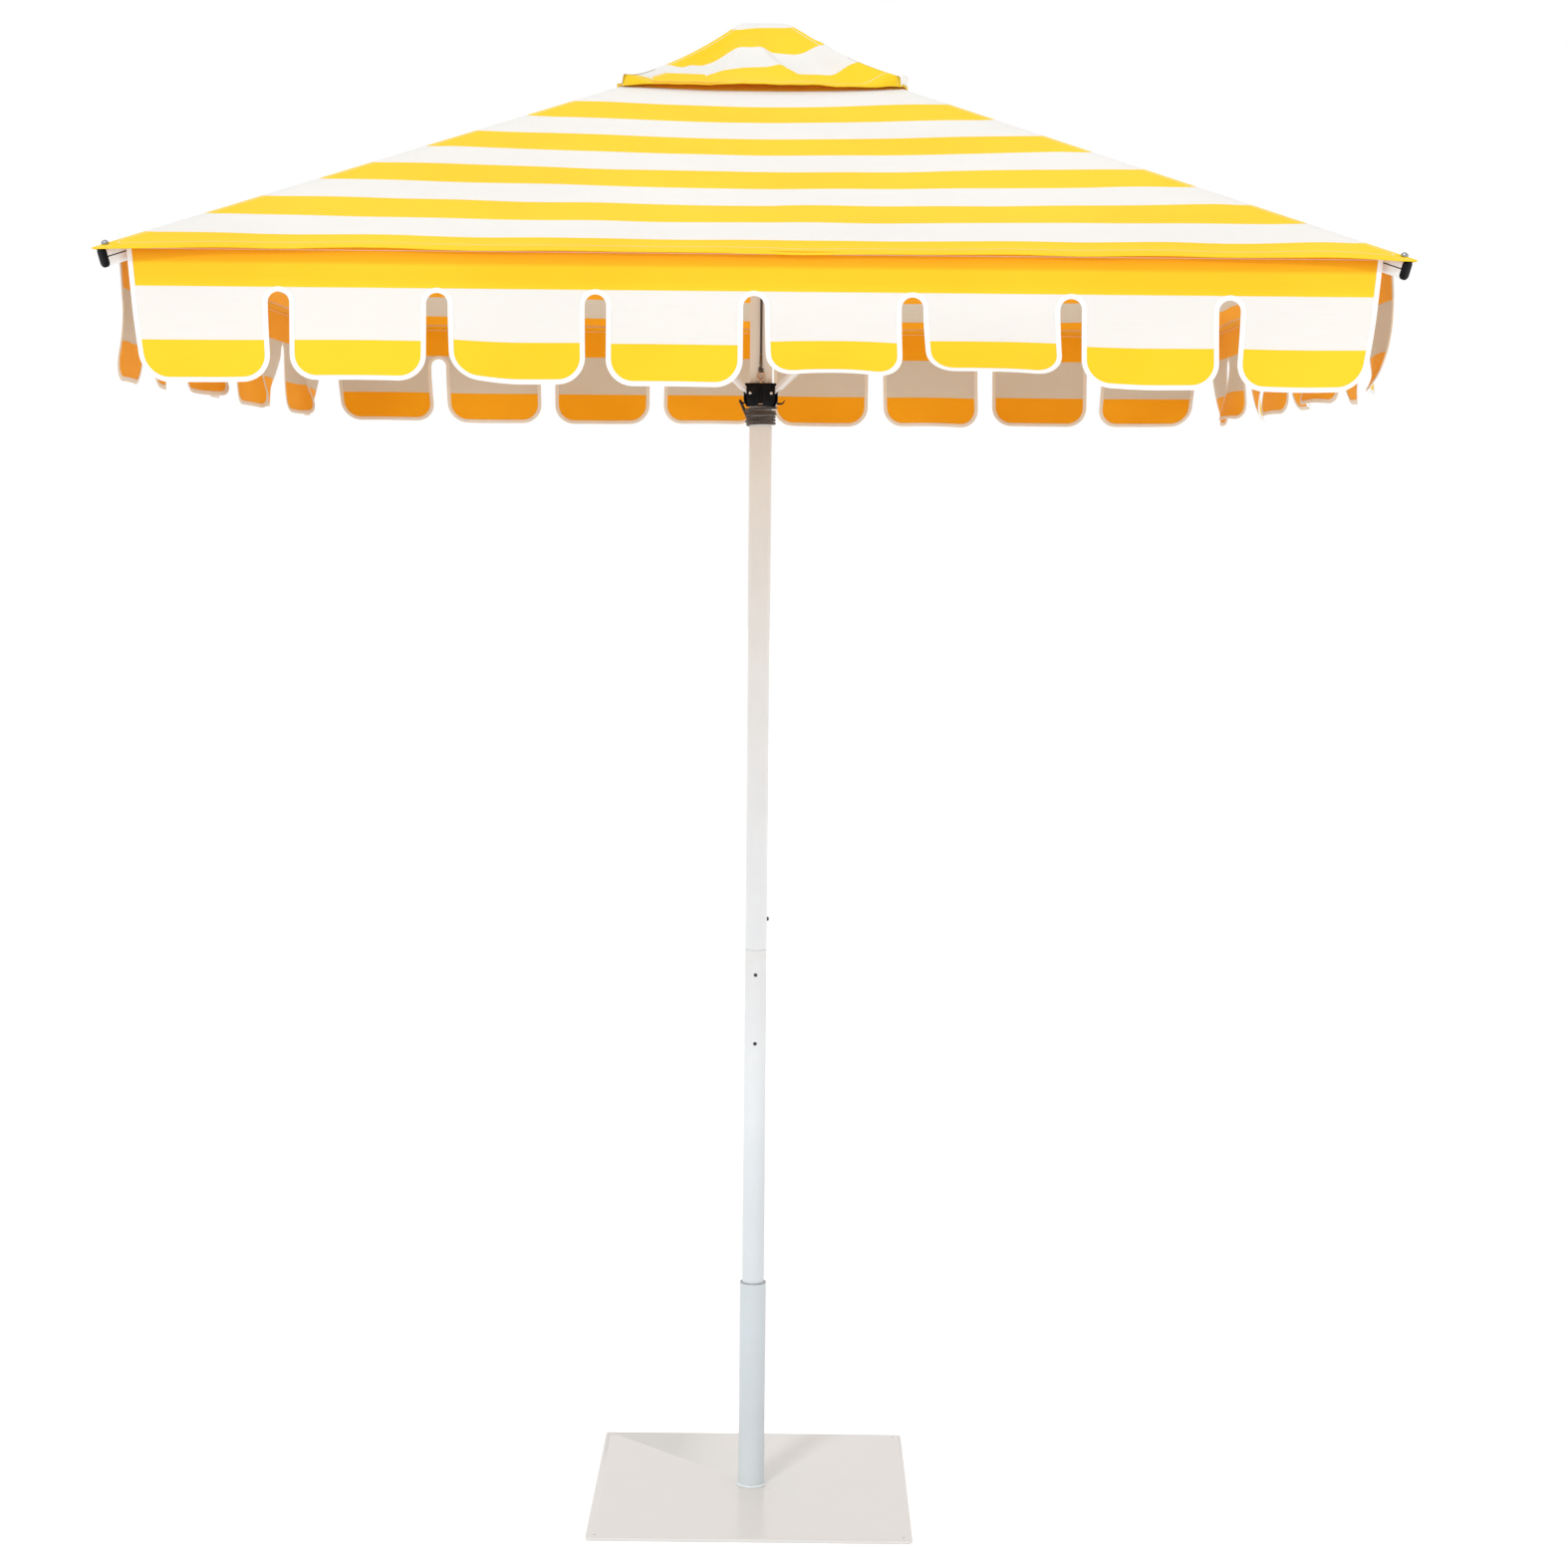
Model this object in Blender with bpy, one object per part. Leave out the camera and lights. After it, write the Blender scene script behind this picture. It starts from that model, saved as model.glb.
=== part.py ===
"""Square beach umbrella: vented four-rib canopy with a scalloped valance, rope lift and plate base."""
import bmesh
import bpy
from math import atan2, cos, hypot, pi, radians, sin
from mathutils import Matrix, Vector

# Driving dimensions, in metres. The origin is the centre of the base plate's underside.
GAP = 0.0003                    # between neighbouring pieces
ROUND = 32                      # sides of a large round piece
SMALL_ROUND = 16                # sides of a small one

PLATE_SIDE = 0.600
PLATE_THICK = 0.006
PLATE_CORNER = 0.008
PLATE_HOLE_INSET = 0.016
TUBE_RADIUS = 0.025
TUBE_WALL = 0.002
TUBE_TOP = 0.405

POLE_RADIUS = 0.021
POLE_WALL = 0.0015
POLE_FOOT = 0.0098
POLE_JOINT = 1.052              # where the two pole sections meet
POLE_TOP = 2.711
SPIGOT_RADIUS = 0.0191
SPIGOT_BOTTOM = 0.850
SPIGOT_TOP = 1.200
SPIGOT_SCREWS = (0.873, 1.005)
BUTTON_Z = 1.110
BUTTON_RADIUS = 0.004

APEX_Z = 2.739                  # where the four ridges would meet
PITCH = 0.472                   # fall of a canopy panel per metre out from the pole
RIB_DROP = 0.018                # rib centre line below the ridge of the fabric
RIB_ROOT = 0.060                # crown hinge pin's distance from the axis
RIB_WIDTH = 0.015
RIB_HEIGHT = 0.030
RIB_WALL = 0.0015
RIB_START = 0.030               # along the rib, from the crown hinge
RIB_END = 1.4037
CAP_LENGTH = 0.008
BRACKET_AT = 0.568
BRACKET_DROP = 0.027
SCREW_AT = 1.398
PIN_RADIUS = 0.002
EYE_RADIUS = 0.0025

HUB_BOTTOM = 2.685
HUB_TOP = 2.722
HUB_RADIUS = 0.066
BOSS_TOP = 2.755
DISC_RADIUS = 0.043
DISC_THICK = 0.010
PULLEY_Z = 2.655
PULLEY_RADIUS = 0.0235

RUNNER_RADIUS = 0.032
RUNNER_BORE = 0.0225
RUNNER_BOTTOM = 2.076
RUNNER_TOP = 2.116
STRUT_ROOT = 0.0295             # strut pin's distance from the axis at the runner
STRUT_PIN_Z = 2.098
STRUT_WIDTH = 0.008
STRUT_HEIGHT = 0.015
CLEAT_REACH = {-1: 0.041, 1: 0.046}   # how far the left and right cleats stand out

ROPE_RADIUS = 0.0025
ROPE_FRONT = -0.0268
WRAP_BOTTOM = 2.036
WRAP_TOP = 2.074
WRAP_RADIUS = 0.028

FABRIC = 0.0015
SEAM = 0.0005                   # from a side's middle line to each cloth half
TIP = 1.000                     # half the canopy's width at its corner tips
RIM = 0.984                     # half its width in the middle of a side
CANOPY_HOLE = 0.130
VENT_EDGE = 0.260
VENT_EDGE_Z = 2.6225
VENT_FLAT = 0.050
VENT_TOP = 2.770
VALANCE_AT = 0.980
VALANCE_TOP = 2.2735
VALANCE_BOTTOM = 2.068
VALANCE_END = 0.947
TAB_WIDTH = 0.207
TAB_GAP = 0.034
TAB_CORNER = 0.040
NOTCH_TOP = 2.207
TABS_PER_HALF = 4

# What follows from them.
SLOPE = atan2(PITCH, 2 ** 0.5)  # fall angle of a ridge, along the diagonal
RIB_ROOT_Z = APEX_Z - RIB_ROOT * PITCH / 2 ** 0.5 - RIB_DROP / cos(SLOPE)
CORNERS = {"front_right": -45.0, "back_right": 45.0, "back_left": 135.0, "front_left": -135.0}


# ---------------------------------------------------------------- materials and objects
def material(name, colour, roughness, metallic=0.0):
    made = bpy.data.materials.new(name)
    made.use_nodes = True
    shader = made.node_tree.nodes["Principled BSDF"]
    shader.inputs["Base Color"].default_value = (*colour, 1.0)
    shader.inputs["Roughness"].default_value = roughness
    shader.inputs["Metallic"].default_value = metallic
    made.diffuse_color = (*colour, 1.0)
    return made


def mesh_from(bm, name):
    bmesh.ops.recalc_face_normals(bm, faces=bm.faces)
    mesh = bpy.data.meshes.new(name)
    bm.to_mesh(mesh)
    bm.free()
    mesh.shade_smooth()
    mesh.set_sharp_from_angle(angle=radians(35.0))
    return mesh


def solid(name, bm, finish, frame=None):
    """One named piece. frame is the empty on its joint axis that it is parented to."""
    piece = bpy.data.objects.new(name, mesh_from(bm, name))
    piece.data.materials.append(finish)
    bpy.context.scene.collection.objects.link(piece)
    piece.parent = frame
    return piece


def empty(name, matrix):
    made = bpy.data.objects.new(name, None)
    made.matrix_world = matrix
    bpy.context.scene.collection.objects.link(made)
    return made


def combine(piece, bm, operation):
    """Adds or cuts a shape, with a hidden helper that shares the piece's frame."""
    helper = bpy.data.objects.new(f"{piece.name}_{operation.lower()}", mesh_from(bm, "helper"))
    helper.hide_render = True
    helper.display_type = "WIRE"
    bpy.context.scene.collection.objects.link(helper)
    helper.parent = piece.parent
    modifier = piece.modifiers.new(operation.title(), "BOOLEAN")
    modifier.operation = operation
    modifier.solver = "EXACT"
    modifier.object = helper


def cut(piece, bm):
    combine(piece, bm, "DIFFERENCE")


def join(piece, bm):
    combine(piece, bm, "UNION")


# ---------------------------------------------------------------- shapes
def skin(bm, first, second):
    """Joins two rings of points; a ring may be one point on the axis."""
    count = max(len(first), len(second))
    for k in range(count):
        corners = [first[k % len(first)], first[(k + 1) % len(first)]]
        corners += [second[(k + 1) % len(second)], second[k % len(second)]]
        corners = list(dict.fromkeys(corners))
        if len(corners) > 2:
            bm.faces.new(corners)


def lofted(loops, closed=False):
    """A solid through loops of points: capped at both ends, or closed into a ring."""
    bm = bmesh.new()
    rings = [[bm.verts.new(point) for point in loop] for loop in loops]
    pairs = list(zip(rings, rings[1:]))
    if closed:
        pairs.append((rings[-1], rings[0]))
    for first, second in pairs:
        skin(bm, first, second)
    if not closed:
        for ring in (rings[0], rings[-1]):
            if len(ring) > 2:
                bm.faces.new(ring)
    return bm


def circle(radius, z, sides):
    if radius == 0.0:
        return [(0.0, 0.0, z)]
    return [(radius * cos(2 * pi * k / sides), radius * sin(2 * pi * k / sides), z) for k in range(sides)]


def turned(profile, sides=ROUND, ring=False):
    """A profile of (radius, z) points turned about Z."""
    return lofted([circle(radius, z, sides) for radius, z in profile], closed=ring)


def sleeve(inner, outer, bottom, top, sides=ROUND):
    return turned([(inner, bottom), (outer, bottom), (outer, top), (inner, top)], sides, ring=True)


def rod(start, end, radius, sides=SMALL_ROUND):
    """A plain round bar between two points."""
    start, end = Vector(start), Vector(end)
    bm = turned([(radius, 0.0), (radius, (end - start).length)], sides)
    turn = Vector((0, 0, 1)).rotation_difference(end - start).to_matrix().to_4x4()
    bmesh.ops.transform(bm, matrix=Matrix.Translation(start) @ turn, verts=bm.verts)
    return bm


def box(low, high):
    bm = bmesh.new()
    bmesh.ops.create_cube(bm, size=1.0)
    low, high = Vector(low), Vector(high)
    scale = Matrix.Diagonal((*(high - low), 1.0))
    bmesh.ops.transform(bm, matrix=Matrix.Translation((low + high) / 2) @ scale, verts=bm.verts)
    return bm


def prism(outline, low, high, along="Z"):
    """A flat outline carried from low to high along X, Y or Z."""
    order = {"X": lambda a, b, c: (c, a, b), "Y": lambda a, b, c: (a, c, b), "Z": lambda a, b, c: (a, b, c)}
    place = order[along]
    return lofted([[place(a, b, c) for a, b in outline] for c in (low, high)])


def merged(shapes):
    """Several separate shapes in one mesh, for use as one cutter."""
    total = bmesh.new()
    for bm in shapes:
        mesh = bpy.data.meshes.new("part_of_cutter")
        bm.to_mesh(mesh)
        bm.free()
        total.from_mesh(mesh)
        bpy.data.meshes.remove(mesh)
    return total


def rotated(bm, degrees):
    bmesh.ops.transform(bm, matrix=Matrix.Rotation(radians(degrees), 4, "Z"), verts=bm.verts)
    return bm


def arc(centre, radius, start, end, steps):
    """Points on an arc, in degrees, both ends included."""
    angles = [radians(start + (end - start) * k / steps) for k in range(steps + 1)]
    return [(centre[0] + radius * cos(a), centre[1] + radius * sin(a)) for a in angles]


def rounded_square(side, radius, steps=4):
    half = side / 2 - radius
    outline = []
    for sx, sy, start in ((1, 1, 0), (-1, 1, 90), (-1, -1, 180), (1, -1, 270)):
        outline += arc((sx * half, sy * half), radius, start, start + 90, steps)
    return outline


def stadium(width, height, steps=6):
    """An upright slot shape: straight sides with round ends."""
    radius = width / 2
    rise = height / 2 - radius
    return arc((0, rise), radius, 0, 180, steps) + arc((0, -rise), radius, 180, 360, steps)


def at(outline, x):
    """An outline in the YZ plane, placed at x."""
    return [(x, a, b) for a, b in outline]


# ---------------------------------------------------------------- base and pole
def make_base(white, grey, black):
    plate = solid("base_plate", prism(rounded_square(PLATE_SIDE, PLATE_CORNER), 0.0, PLATE_THICK), white)
    inset = PLATE_SIDE / 2 - PLATE_HOLE_INSET
    spots = [(sx * inset, sy * inset) for sx in (-1, 1) for sy in (-1, 1)]
    cut(plate, merged([rod((x, y, -0.01), (x, y, 0.02), 0.0025, 12) for x, y in spots]))
    foot = PLATE_THICK + GAP
    tube = solid("base_tube", sleeve(TUBE_RADIUS - TUBE_WALL, TUBE_RADIUS, foot, TUBE_TOP), grey)
    cut(tube, rod((0, -0.04, foot + 0.001), (0, -0.01, foot + 0.001), 0.004, 12))
    bore = POLE_RADIUS + 0.0004
    neck = TUBE_RADIUS - TUBE_WALL - GAP
    lip = TUBE_TOP + GAP
    profile = [(bore, TUBE_TOP - 0.060), (neck, TUBE_TOP - 0.060), (neck, lip)]
    profile += [(TUBE_RADIUS - 0.0004, lip), (TUBE_RADIUS - 0.0004, lip + 0.0015), (bore, lip + 0.0015)]
    solid("tube_bush", turned(profile, ring=True), black)


def rivet(head, height, shank, length):
    """A domed head on a shank, along +Z, its seat at z = 0."""
    dome = [(head * cos(radians(a)), height * sin(radians(a))) for a in (0, 30, 60)]
    return turned([(shank, -length), (shank, 0.0)] + dome + [(0.0, height)], 12)


def make_lower_pole(white, black, steel):
    inner = POLE_RADIUS - POLE_WALL
    pole = solid("lower_pole", sleeve(inner, POLE_RADIUS, POLE_FOOT, POLE_JOINT), white)
    spigot = solid("pole_spigot", sleeve(SPIGOT_RADIUS - POLE_WALL, SPIGOT_RADIUS, SPIGOT_BOTTOM, SPIGOT_TOP),
                   steel)
    for tube in (pole, spigot):
        cut(tube, merged([rod((0, -0.03, z), (0, -0.01, z), 0.0019, 12) for z in SPIGOT_SCREWS]))
    cut(spigot, box((0.010, -0.005, BUTTON_Z - 0.012), (0.030, 0.005, SPIGOT_TOP + 0.01)))
    for name, z in zip(("spigot_screw_lower", "spigot_screw_upper"), SPIGOT_SCREWS):
        bm = rivet(0.0036, 0.0014, 0.0015, 0.006)
        face = Matrix.Translation((0, -POLE_RADIUS - GAP, z)) @ Matrix.Rotation(pi / 2, 4, "X")
        bmesh.ops.transform(bm, matrix=face, verts=bm.verts)
        solid(name, bm, steel)
    flange = POLE_FOOT - GAP
    plug = [(0.0, flange - 0.003), (POLE_RADIUS, flange - 0.003), (POLE_RADIUS, flange)]
    plug += [(inner - 0.0005, flange), (inner - 0.0005, 0.030), (0.0, 0.030)]
    solid("pole_foot_plug", turned(plug), black)


def make_snap_button(black, steel):
    """The sprung button that locks the two pole sections, on the right side of the pole."""
    frame = empty("button_axis", Matrix.Translation((0, 0, BUTTON_Z)) @ Matrix.Rotation(pi / 2, 4, "Y"))
    profile = [(0.0, 0.0140), (0.0055, 0.0140), (0.0055, 0.0154), (BUTTON_RADIUS, 0.0154)]
    profile += [(BUTTON_RADIUS, 0.0226), (0.0028, 0.0240), (0.0, 0.0243)]
    solid("snap_button", turned(profile, SMALL_ROUND), black, frame)
    back, leaf, wall = 0.0137, 0.0008, 0.0187
    inner = [(back - leaf, BUTTON_Z - 0.008), (back - leaf, 1.206), (wall - leaf, 1.216), (wall - leaf, 1.245)]
    outer = [(wall, 1.245), (wall, 1.2156), (back, 1.2056), (back, BUTTON_Z - 0.008)]
    solid("button_spring", prism(inner + outer, -0.0035, 0.0035, "Y"), steel)


def make_upper_pole(white):
    foot = POLE_JOINT + GAP
    pole = solid("upper_pole", sleeve(POLE_RADIUS - POLE_WALL, POLE_RADIUS, foot, POLE_TOP), white)
    slot = box((-0.006, -0.03, PULLEY_Z - 0.027), (0.006, 0.03, PULLEY_Z + 0.0288))
    holes = [rod((0.010, 0, BUTTON_Z), (0.030, 0, BUTTON_Z), BUTTON_RADIUS + 0.0004, SMALL_ROUND)]
    for side in (-1, 1):
        holes.append(rod((side * 0.010, 0, PULLEY_Z), (side * 0.030, 0, PULLEY_Z), 0.0024, 12))
    cut(pole, merged([slot] + holes))


def make_crown(black, steel):
    """Hub on top of the pole with a slot and a moulded pin for each rib, and the vent's disc above it."""
    bore = POLE_RADIUS + 0.0004
    outer = [(bore, HUB_BOTTOM), (HUB_RADIUS, HUB_BOTTOM), (HUB_RADIUS, HUB_TOP), (0.024, HUB_TOP)]
    inner = [(0.024, BOSS_TOP), (0.0, BOSS_TOP), (0.0, POLE_TOP + 0.002), (bore, POLE_TOP + 0.002)]
    hub = solid("crown_hub", turned(outer + inner, ring=True), black)
    slots = [rotated(box((RIB_ROOT - 0.007, -0.003, 2.67), (0.08, 0.003, 2.73)), a) for a in CORNERS.values()]
    pins = []
    for angle in CORNERS.values():
        pin = rod((RIB_ROOT, -0.006, RIB_ROOT_Z), (RIB_ROOT, 0.006, RIB_ROOT_Z), PIN_RADIUS, 12)
        pins.append(rotated(pin, angle))
    cut(hub, merged(slots + [rod((0, 0, BOSS_TOP - 0.016), (0, 0, BOSS_TOP + 0.01), 0.0023, 12)]))
    join(hub, merged(pins))
    low = BOSS_TOP + GAP
    high = low + DISC_THICK
    disc = [(0.0024, low), (DISC_RADIUS, low), (DISC_RADIUS, high - 0.003), (DISC_RADIUS - 0.003, high)]
    disc += [(0.0054, high), (0.0024, high - 0.003)]
    solid("top_disc", turned(disc, ring=True), black)
    screw = [(0.0, low - 0.014), (0.0019, low - 0.014), (0.0019, high - 0.0032), (0.0047, high - 0.0003)]
    solid("top_screw", turned(screw + [(0.0, high - 0.0003)], 12), steel)


def make_pulley(black, steel):
    frame = empty("pulley_axis", Matrix.Translation((0, 0, PULLEY_Z)) @ Matrix.Rotation(pi / 2, 4, "Y"))
    groove = PULLEY_RADIUS - 0.004
    wheel = [(0.0024, -0.0045), (PULLEY_RADIUS, -0.0045), (PULLEY_RADIUS, -0.0034), (groove, -0.0027)]
    wheel += [(radius, -z) for radius, z in reversed(wheel)]
    solid("pulley_wheel", turned(wheel, 24, ring=True), black, frame)
    head = POLE_RADIUS + GAP
    axle = [(0.0, -head - 0.0015), (0.0034, -head - 0.0015), (0.0034, -head), (0.0019, -head)]
    axle += [(radius, -z) for radius, z in reversed(axle)]
    solid("pulley_axle", turned(axle, 12), steel, frame)


# ---------------------------------------------------------------- runner and rope
def make_runner(black, brass):
    hub = solid("runner_hub", sleeve(RUNNER_BORE, RUNNER_RADIUS, RUNNER_BOTTOM, RUNNER_TOP), black)
    for side, reach in CLEAT_REACH.items():
        hook = [(0.028, 2.079), (reach - 0.005, 2.079), (reach - 0.003, 2.075), (reach, 2.075)]
        hook += [(reach, 2.084), (reach - 0.003, 2.087), (0.028, 2.087)]
        join(hub, prism([(side * x, z) for x, z in hook], -0.004, 0.004, "Y"))
    slots = []
    for angle in CORNERS.values():
        slots.append(rotated(box((0.0250, -0.0032, 2.06), (0.04, 0.0032, 2.13)), angle))
    cut(hub, merged(slots))
    grooves = []
    for angle in CORNERS.values():
        grooves.append(rotated(box((0.0272, -0.0078, 2.055), (0.045, 0.0078, STRUT_PIN_Z + 0.0025)), angle))
    cut(hub, merged(grooves))
    foot, head = Vector((0, ROPE_FRONT, RUNNER_TOP + GAP)), Vector((0, ROPE_FRONT, RUNNER_TOP + 0.010))
    post = solid("rope_eye", rod(foot, head, 0.0020, 12), brass)
    loop = []
    for k in range(16):
        turn = 2 * pi * k / 16
        ring = []
        for j in range(8):
            a = 2 * pi * j / 8
            reach = 0.006 + 0.0016 * cos(a)
            ring.append((reach * sin(turn), ROPE_FRONT + 0.0016 * sin(a), RUNNER_TOP + 0.0135 + reach * cos(turn)))
        loop.append(ring)
    join(post, lofted(loop, closed=True))
    swivel = [(0.0, 2.1395), (0.0030, 2.1395), (0.0045, 2.143), (0.0045, 2.160), (0.0032, 2.170), (0.0, 2.170)]
    bm = turned(swivel, SMALL_ROUND)
    bmesh.ops.translate(bm, vec=(0, ROPE_FRONT, 0), verts=bm.verts)
    solid("rope_swivel", bm, brass)


def smooth_route(points, spacing):
    """Evenly spaced points on a Catmull-Rom curve through the route's own points."""
    points = [Vector(p) for p in points]
    padded = [2 * points[0] - points[1]] + points + [2 * points[-1] - points[-2]]
    dense = []
    for p0, p1, p2, p3 in zip(padded, padded[1:], padded[2:], padded[3:]):
        for k in range(40):
            t = k / 40
            dense.append(0.5 * (2 * p1 + (p2 - p0) * t + (2 * p0 - 5 * p1 + 4 * p2 - p3) * t * t
                                + (3 * p1 - p0 - 3 * p2 + p3) * t ** 3))
    dense.append(points[-1])
    length = sum((b - a).length for a, b in zip(dense, dense[1:]))
    count = max(2, round(length / spacing))
    kept, walked, target = [dense[0]], 0.0, length / count
    for a, b in zip(dense, dense[1:]):
        walked += (b - a).length
        if walked >= target * len(kept) - 1e-6 and len(kept) < count:
            kept.append(b)
    return kept + [dense[-1]]


def rope(name, route, spacing, finish):
    curve = bpy.data.curves.new(name, "CURVE")
    curve.dimensions = "3D"
    curve.bevel_depth = ROPE_RADIUS
    curve.bevel_resolution = 2
    curve.use_fill_caps = True
    points = smooth_route(route, spacing)
    line = curve.splines.new("POLY")
    line.points.add(len(points) - 1)
    for spot, point in zip(line.points, points):
        spot.co = (*point, 1.0)
    curve.materials.append(finish)
    bpy.context.scene.collection.objects.link(bpy.data.objects.new(name, curve))


# The rope's route: up the front from the swivel, over the pulley, down the back and round the cleats.
OVER_PULLEY = PULLEY_RADIUS + 0.001
LIFT_ROUTE = [(0, ROPE_FRONT, 2.1703), (0, ROPE_FRONT, 2.30), (0, -0.0260, 2.45), (0, -OVER_PULLEY, 2.60),
              (0, -OVER_PULLEY, 2.648)]
RETURN_ARC = [(0, -OVER_PULLEY * cos(radians(a)), PULLEY_Z + OVER_PULLEY * sin(radians(a)))
              for a in range(-15, 196, 15)]
RETURN_ROUTE = RETURN_ARC + [(0, 0.0250, 2.56), (0, 0.0275, 2.40), (0, 0.0325, 2.22), (0, 0.0355, 2.13),
                             (0, 0.0358, 2.078), (0, 0.0338, 2.064), (0, 0.0316, 2.052)]


def make_rope(grey):
    rope("rope_lift", LIFT_ROUTE, 0.014, grey)
    rope("rope_return", RETURN_ROUTE[1:], 0.010, grey)
    bore = RUNNER_BORE - 0.0005
    solid("rope_wrap", sleeve(bore, WRAP_RADIUS, WRAP_BOTTOM, WRAP_TOP), grey)


# ---------------------------------------------------------------- ribs and struts
def rib_frame(corner, angle):
    """On the crown hinge pin: local X runs out along the rib, Y across it, Z away from its top."""
    turn = Matrix.Rotation(radians(angle), 4, "Z")
    pin = turn @ Vector((RIB_ROOT, 0.0, RIB_ROOT_Z))
    return empty(f"rib_axis_{corner}", Matrix.Translation(pin) @ turn @ Matrix.Rotation(SLOPE, 4, "Y"))


def tongue(far, half_height, thick):
    """A flat eye end: round about the pin, straight to far."""
    outline = arc((0, 0), half_height, 90, 270, 8) + [(far, -half_height), (far, half_height)]
    return prism(outline, -thick / 2, thick / 2, "Y")


def make_rib(corner, frame, white, black, chrome):
    outside = stadium(RIB_WIDTH, RIB_HEIGHT)
    inside = stadium(RIB_WIDTH - 2 * RIB_WALL, RIB_HEIGHT - 2 * RIB_WALL)
    rib = solid(f"rib_{corner}", lofted([at(outside, RIB_START), at(outside, RIB_END)]), white, frame)
    cut(rib, lofted([at(inside, RIB_START + 0.004), at(inside, RIB_END + 0.01)]))
    join(rib, tongue(RIB_START + 0.002, 0.0055, 0.0052))
    cut(rib, merged([rod((0, -0.01, 0), (0, 0.01, 0), EYE_RADIUS, 12),
                     rod((SCREW_AT, 0, 0.011), (SCREW_AT, 0, 0.03), 0.0019, 12)]))
    plug = stadium(RIB_WIDTH - 2 * RIB_WALL - 0.0008, RIB_HEIGHT - 2 * RIB_WALL - 0.0008)
    cover = stadium(RIB_WIDTH + 0.0014, RIB_HEIGHT + 0.0014)
    edge = stadium(RIB_WIDTH - 0.001, RIB_HEIGHT - 0.001)
    start = RIB_END + GAP
    end = start + CAP_LENGTH
    sections = [at(plug, start - 0.012), at(plug, start), at(cover, start), at(cover, end - 0.0015), at(edge, end)]
    cap = solid(f"rib_end_cap_{corner}", lofted(sections), black, frame)
    cut(cap, rod((SCREW_AT, 0, 0.002), (SCREW_AT, 0, 0.03), 0.0019, 12))
    screw = rivet(0.0060, 0.0040, 0.0015, 0.014)
    bmesh.ops.translate(screw, vec=(SCREW_AT, 0, RIB_DROP + GAP), verts=screw.verts)
    solid(f"corner_screw_{corner}", screw, chrome, frame)


def make_bracket(corner, frame, black):
    """A saddle on the rib with two ears and a moulded pin for the strut."""
    cheek, ear, floor, foot = 0.0105, 0.0062, -0.0153, -0.0195
    slot = 0.0032
    right = [(RIB_WIDTH / 2 + GAP, floor), (RIB_WIDTH / 2 + GAP, 0.002), (cheek, 0.002), (cheek, foot)]
    right += [(ear, foot), (ear, -0.0325), (slot, -0.0325), (slot, foot)]
    outline = right + [(-y, z) for y, z in reversed(right)]
    sections = [at(outline, BRACKET_AT - 0.015), at(outline, BRACKET_AT + 0.015)]
    bracket = solid(f"rib_bracket_{corner}", lofted(sections), black, frame)
    span = (ear + slot) / 2
    pin = rod((BRACKET_AT, -span, -BRACKET_DROP), (BRACKET_AT, span, -BRACKET_DROP), PIN_RADIUS, 12)
    join(bracket, pin)


def make_strut(corner, angle, white):
    """A flat bar from the rib bracket's pin to the runner, with its own pin in its lower end."""
    out = RIB_ROOT + BRACKET_AT * cos(SLOPE) - BRACKET_DROP * sin(SLOPE)
    up = RIB_ROOT_Z - BRACKET_AT * sin(SLOPE) - BRACKET_DROP * cos(SLOPE)
    length = hypot(out - STRUT_ROOT, up - STRUT_PIN_Z)
    tilt = atan2(up - STRUT_PIN_Z, STRUT_ROOT - out)
    turn = Matrix.Rotation(radians(angle), 4, "Z")
    place = Matrix.Translation(turn @ Vector((out, 0.0, up))) @ turn @ Matrix.Rotation(tilt, 4, "Y")
    frame = empty(f"strut_axis_{corner}", place)
    section = stadium(STRUT_WIDTH, STRUT_HEIGHT, 4)
    strut = solid(f"strut_{corner}", lofted([at(section, 0.022), at(section, length - 0.022)]), white, frame)
    join(strut, tongue(0.026, 0.0050, 0.0056))
    cut(strut, rod((0, -0.01, 0), (0, 0.01, 0), EYE_RADIUS, 12))
    lower = tongue(0.026, 0.0042, 0.0056)
    flip = Matrix.Translation((length, 0, 0)) @ Matrix.Rotation(pi, 4, "Z")
    bmesh.ops.transform(lower, matrix=flip, verts=lower.verts)
    join(strut, lower)
    join(strut, rod((length, -0.0070, 0), (length, 0.0070, 0), PIN_RADIUS, 12))


# ---------------------------------------------------------------- fabric
def sheet(columns, thickness):
    """A thin closed solid under a grid of top points, given column by column."""
    bm = bmesh.new()
    top = [[bm.verts.new(p) for p in column] for column in columns]
    under = [[bm.verts.new((p[0], p[1], p[2] - thickness)) for p in column] for column in columns]
    for grid in (top, under):
        for a, b in zip(grid, grid[1:]):
            for k in range(len(a) - 1):
                bm.faces.new((a[k], a[k + 1], b[k + 1], b[k]))
    rim = [(c, 0) for c in range(len(columns))]
    rim += [(len(columns) - 1, r) for r in range(1, len(columns[0]))]
    rim += [(c, len(columns[0]) - 1) for c in range(len(columns) - 2, -1, -1)]
    rim += [(0, r) for r in range(len(columns[0]) - 2, 0, -1)]
    for (c, r), (d, s) in zip(rim, rim[1:] + rim[:1]):
        bm.faces.new((top[c][r], top[d][s], under[d][s], under[c][r]))
    return bm


def quarter(stations, seam):
    """Columns from one panel's middle seam, over the ridge, to the next panel's middle.

    stations are (half width, height, half width at the ridge) from the pole outwards, for the corner
    at +X -Y.
    """
    front = [(seam, -m, z) for m, z, tip in stations]
    ridge = [(tip, -tip, z) for m, z, tip in stations]
    right = [(m, -seam, z) for m, z, tip in stations]
    return [front, ridge, right]


def panel_z(m):
    return APEX_Z - PITCH * m


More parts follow.
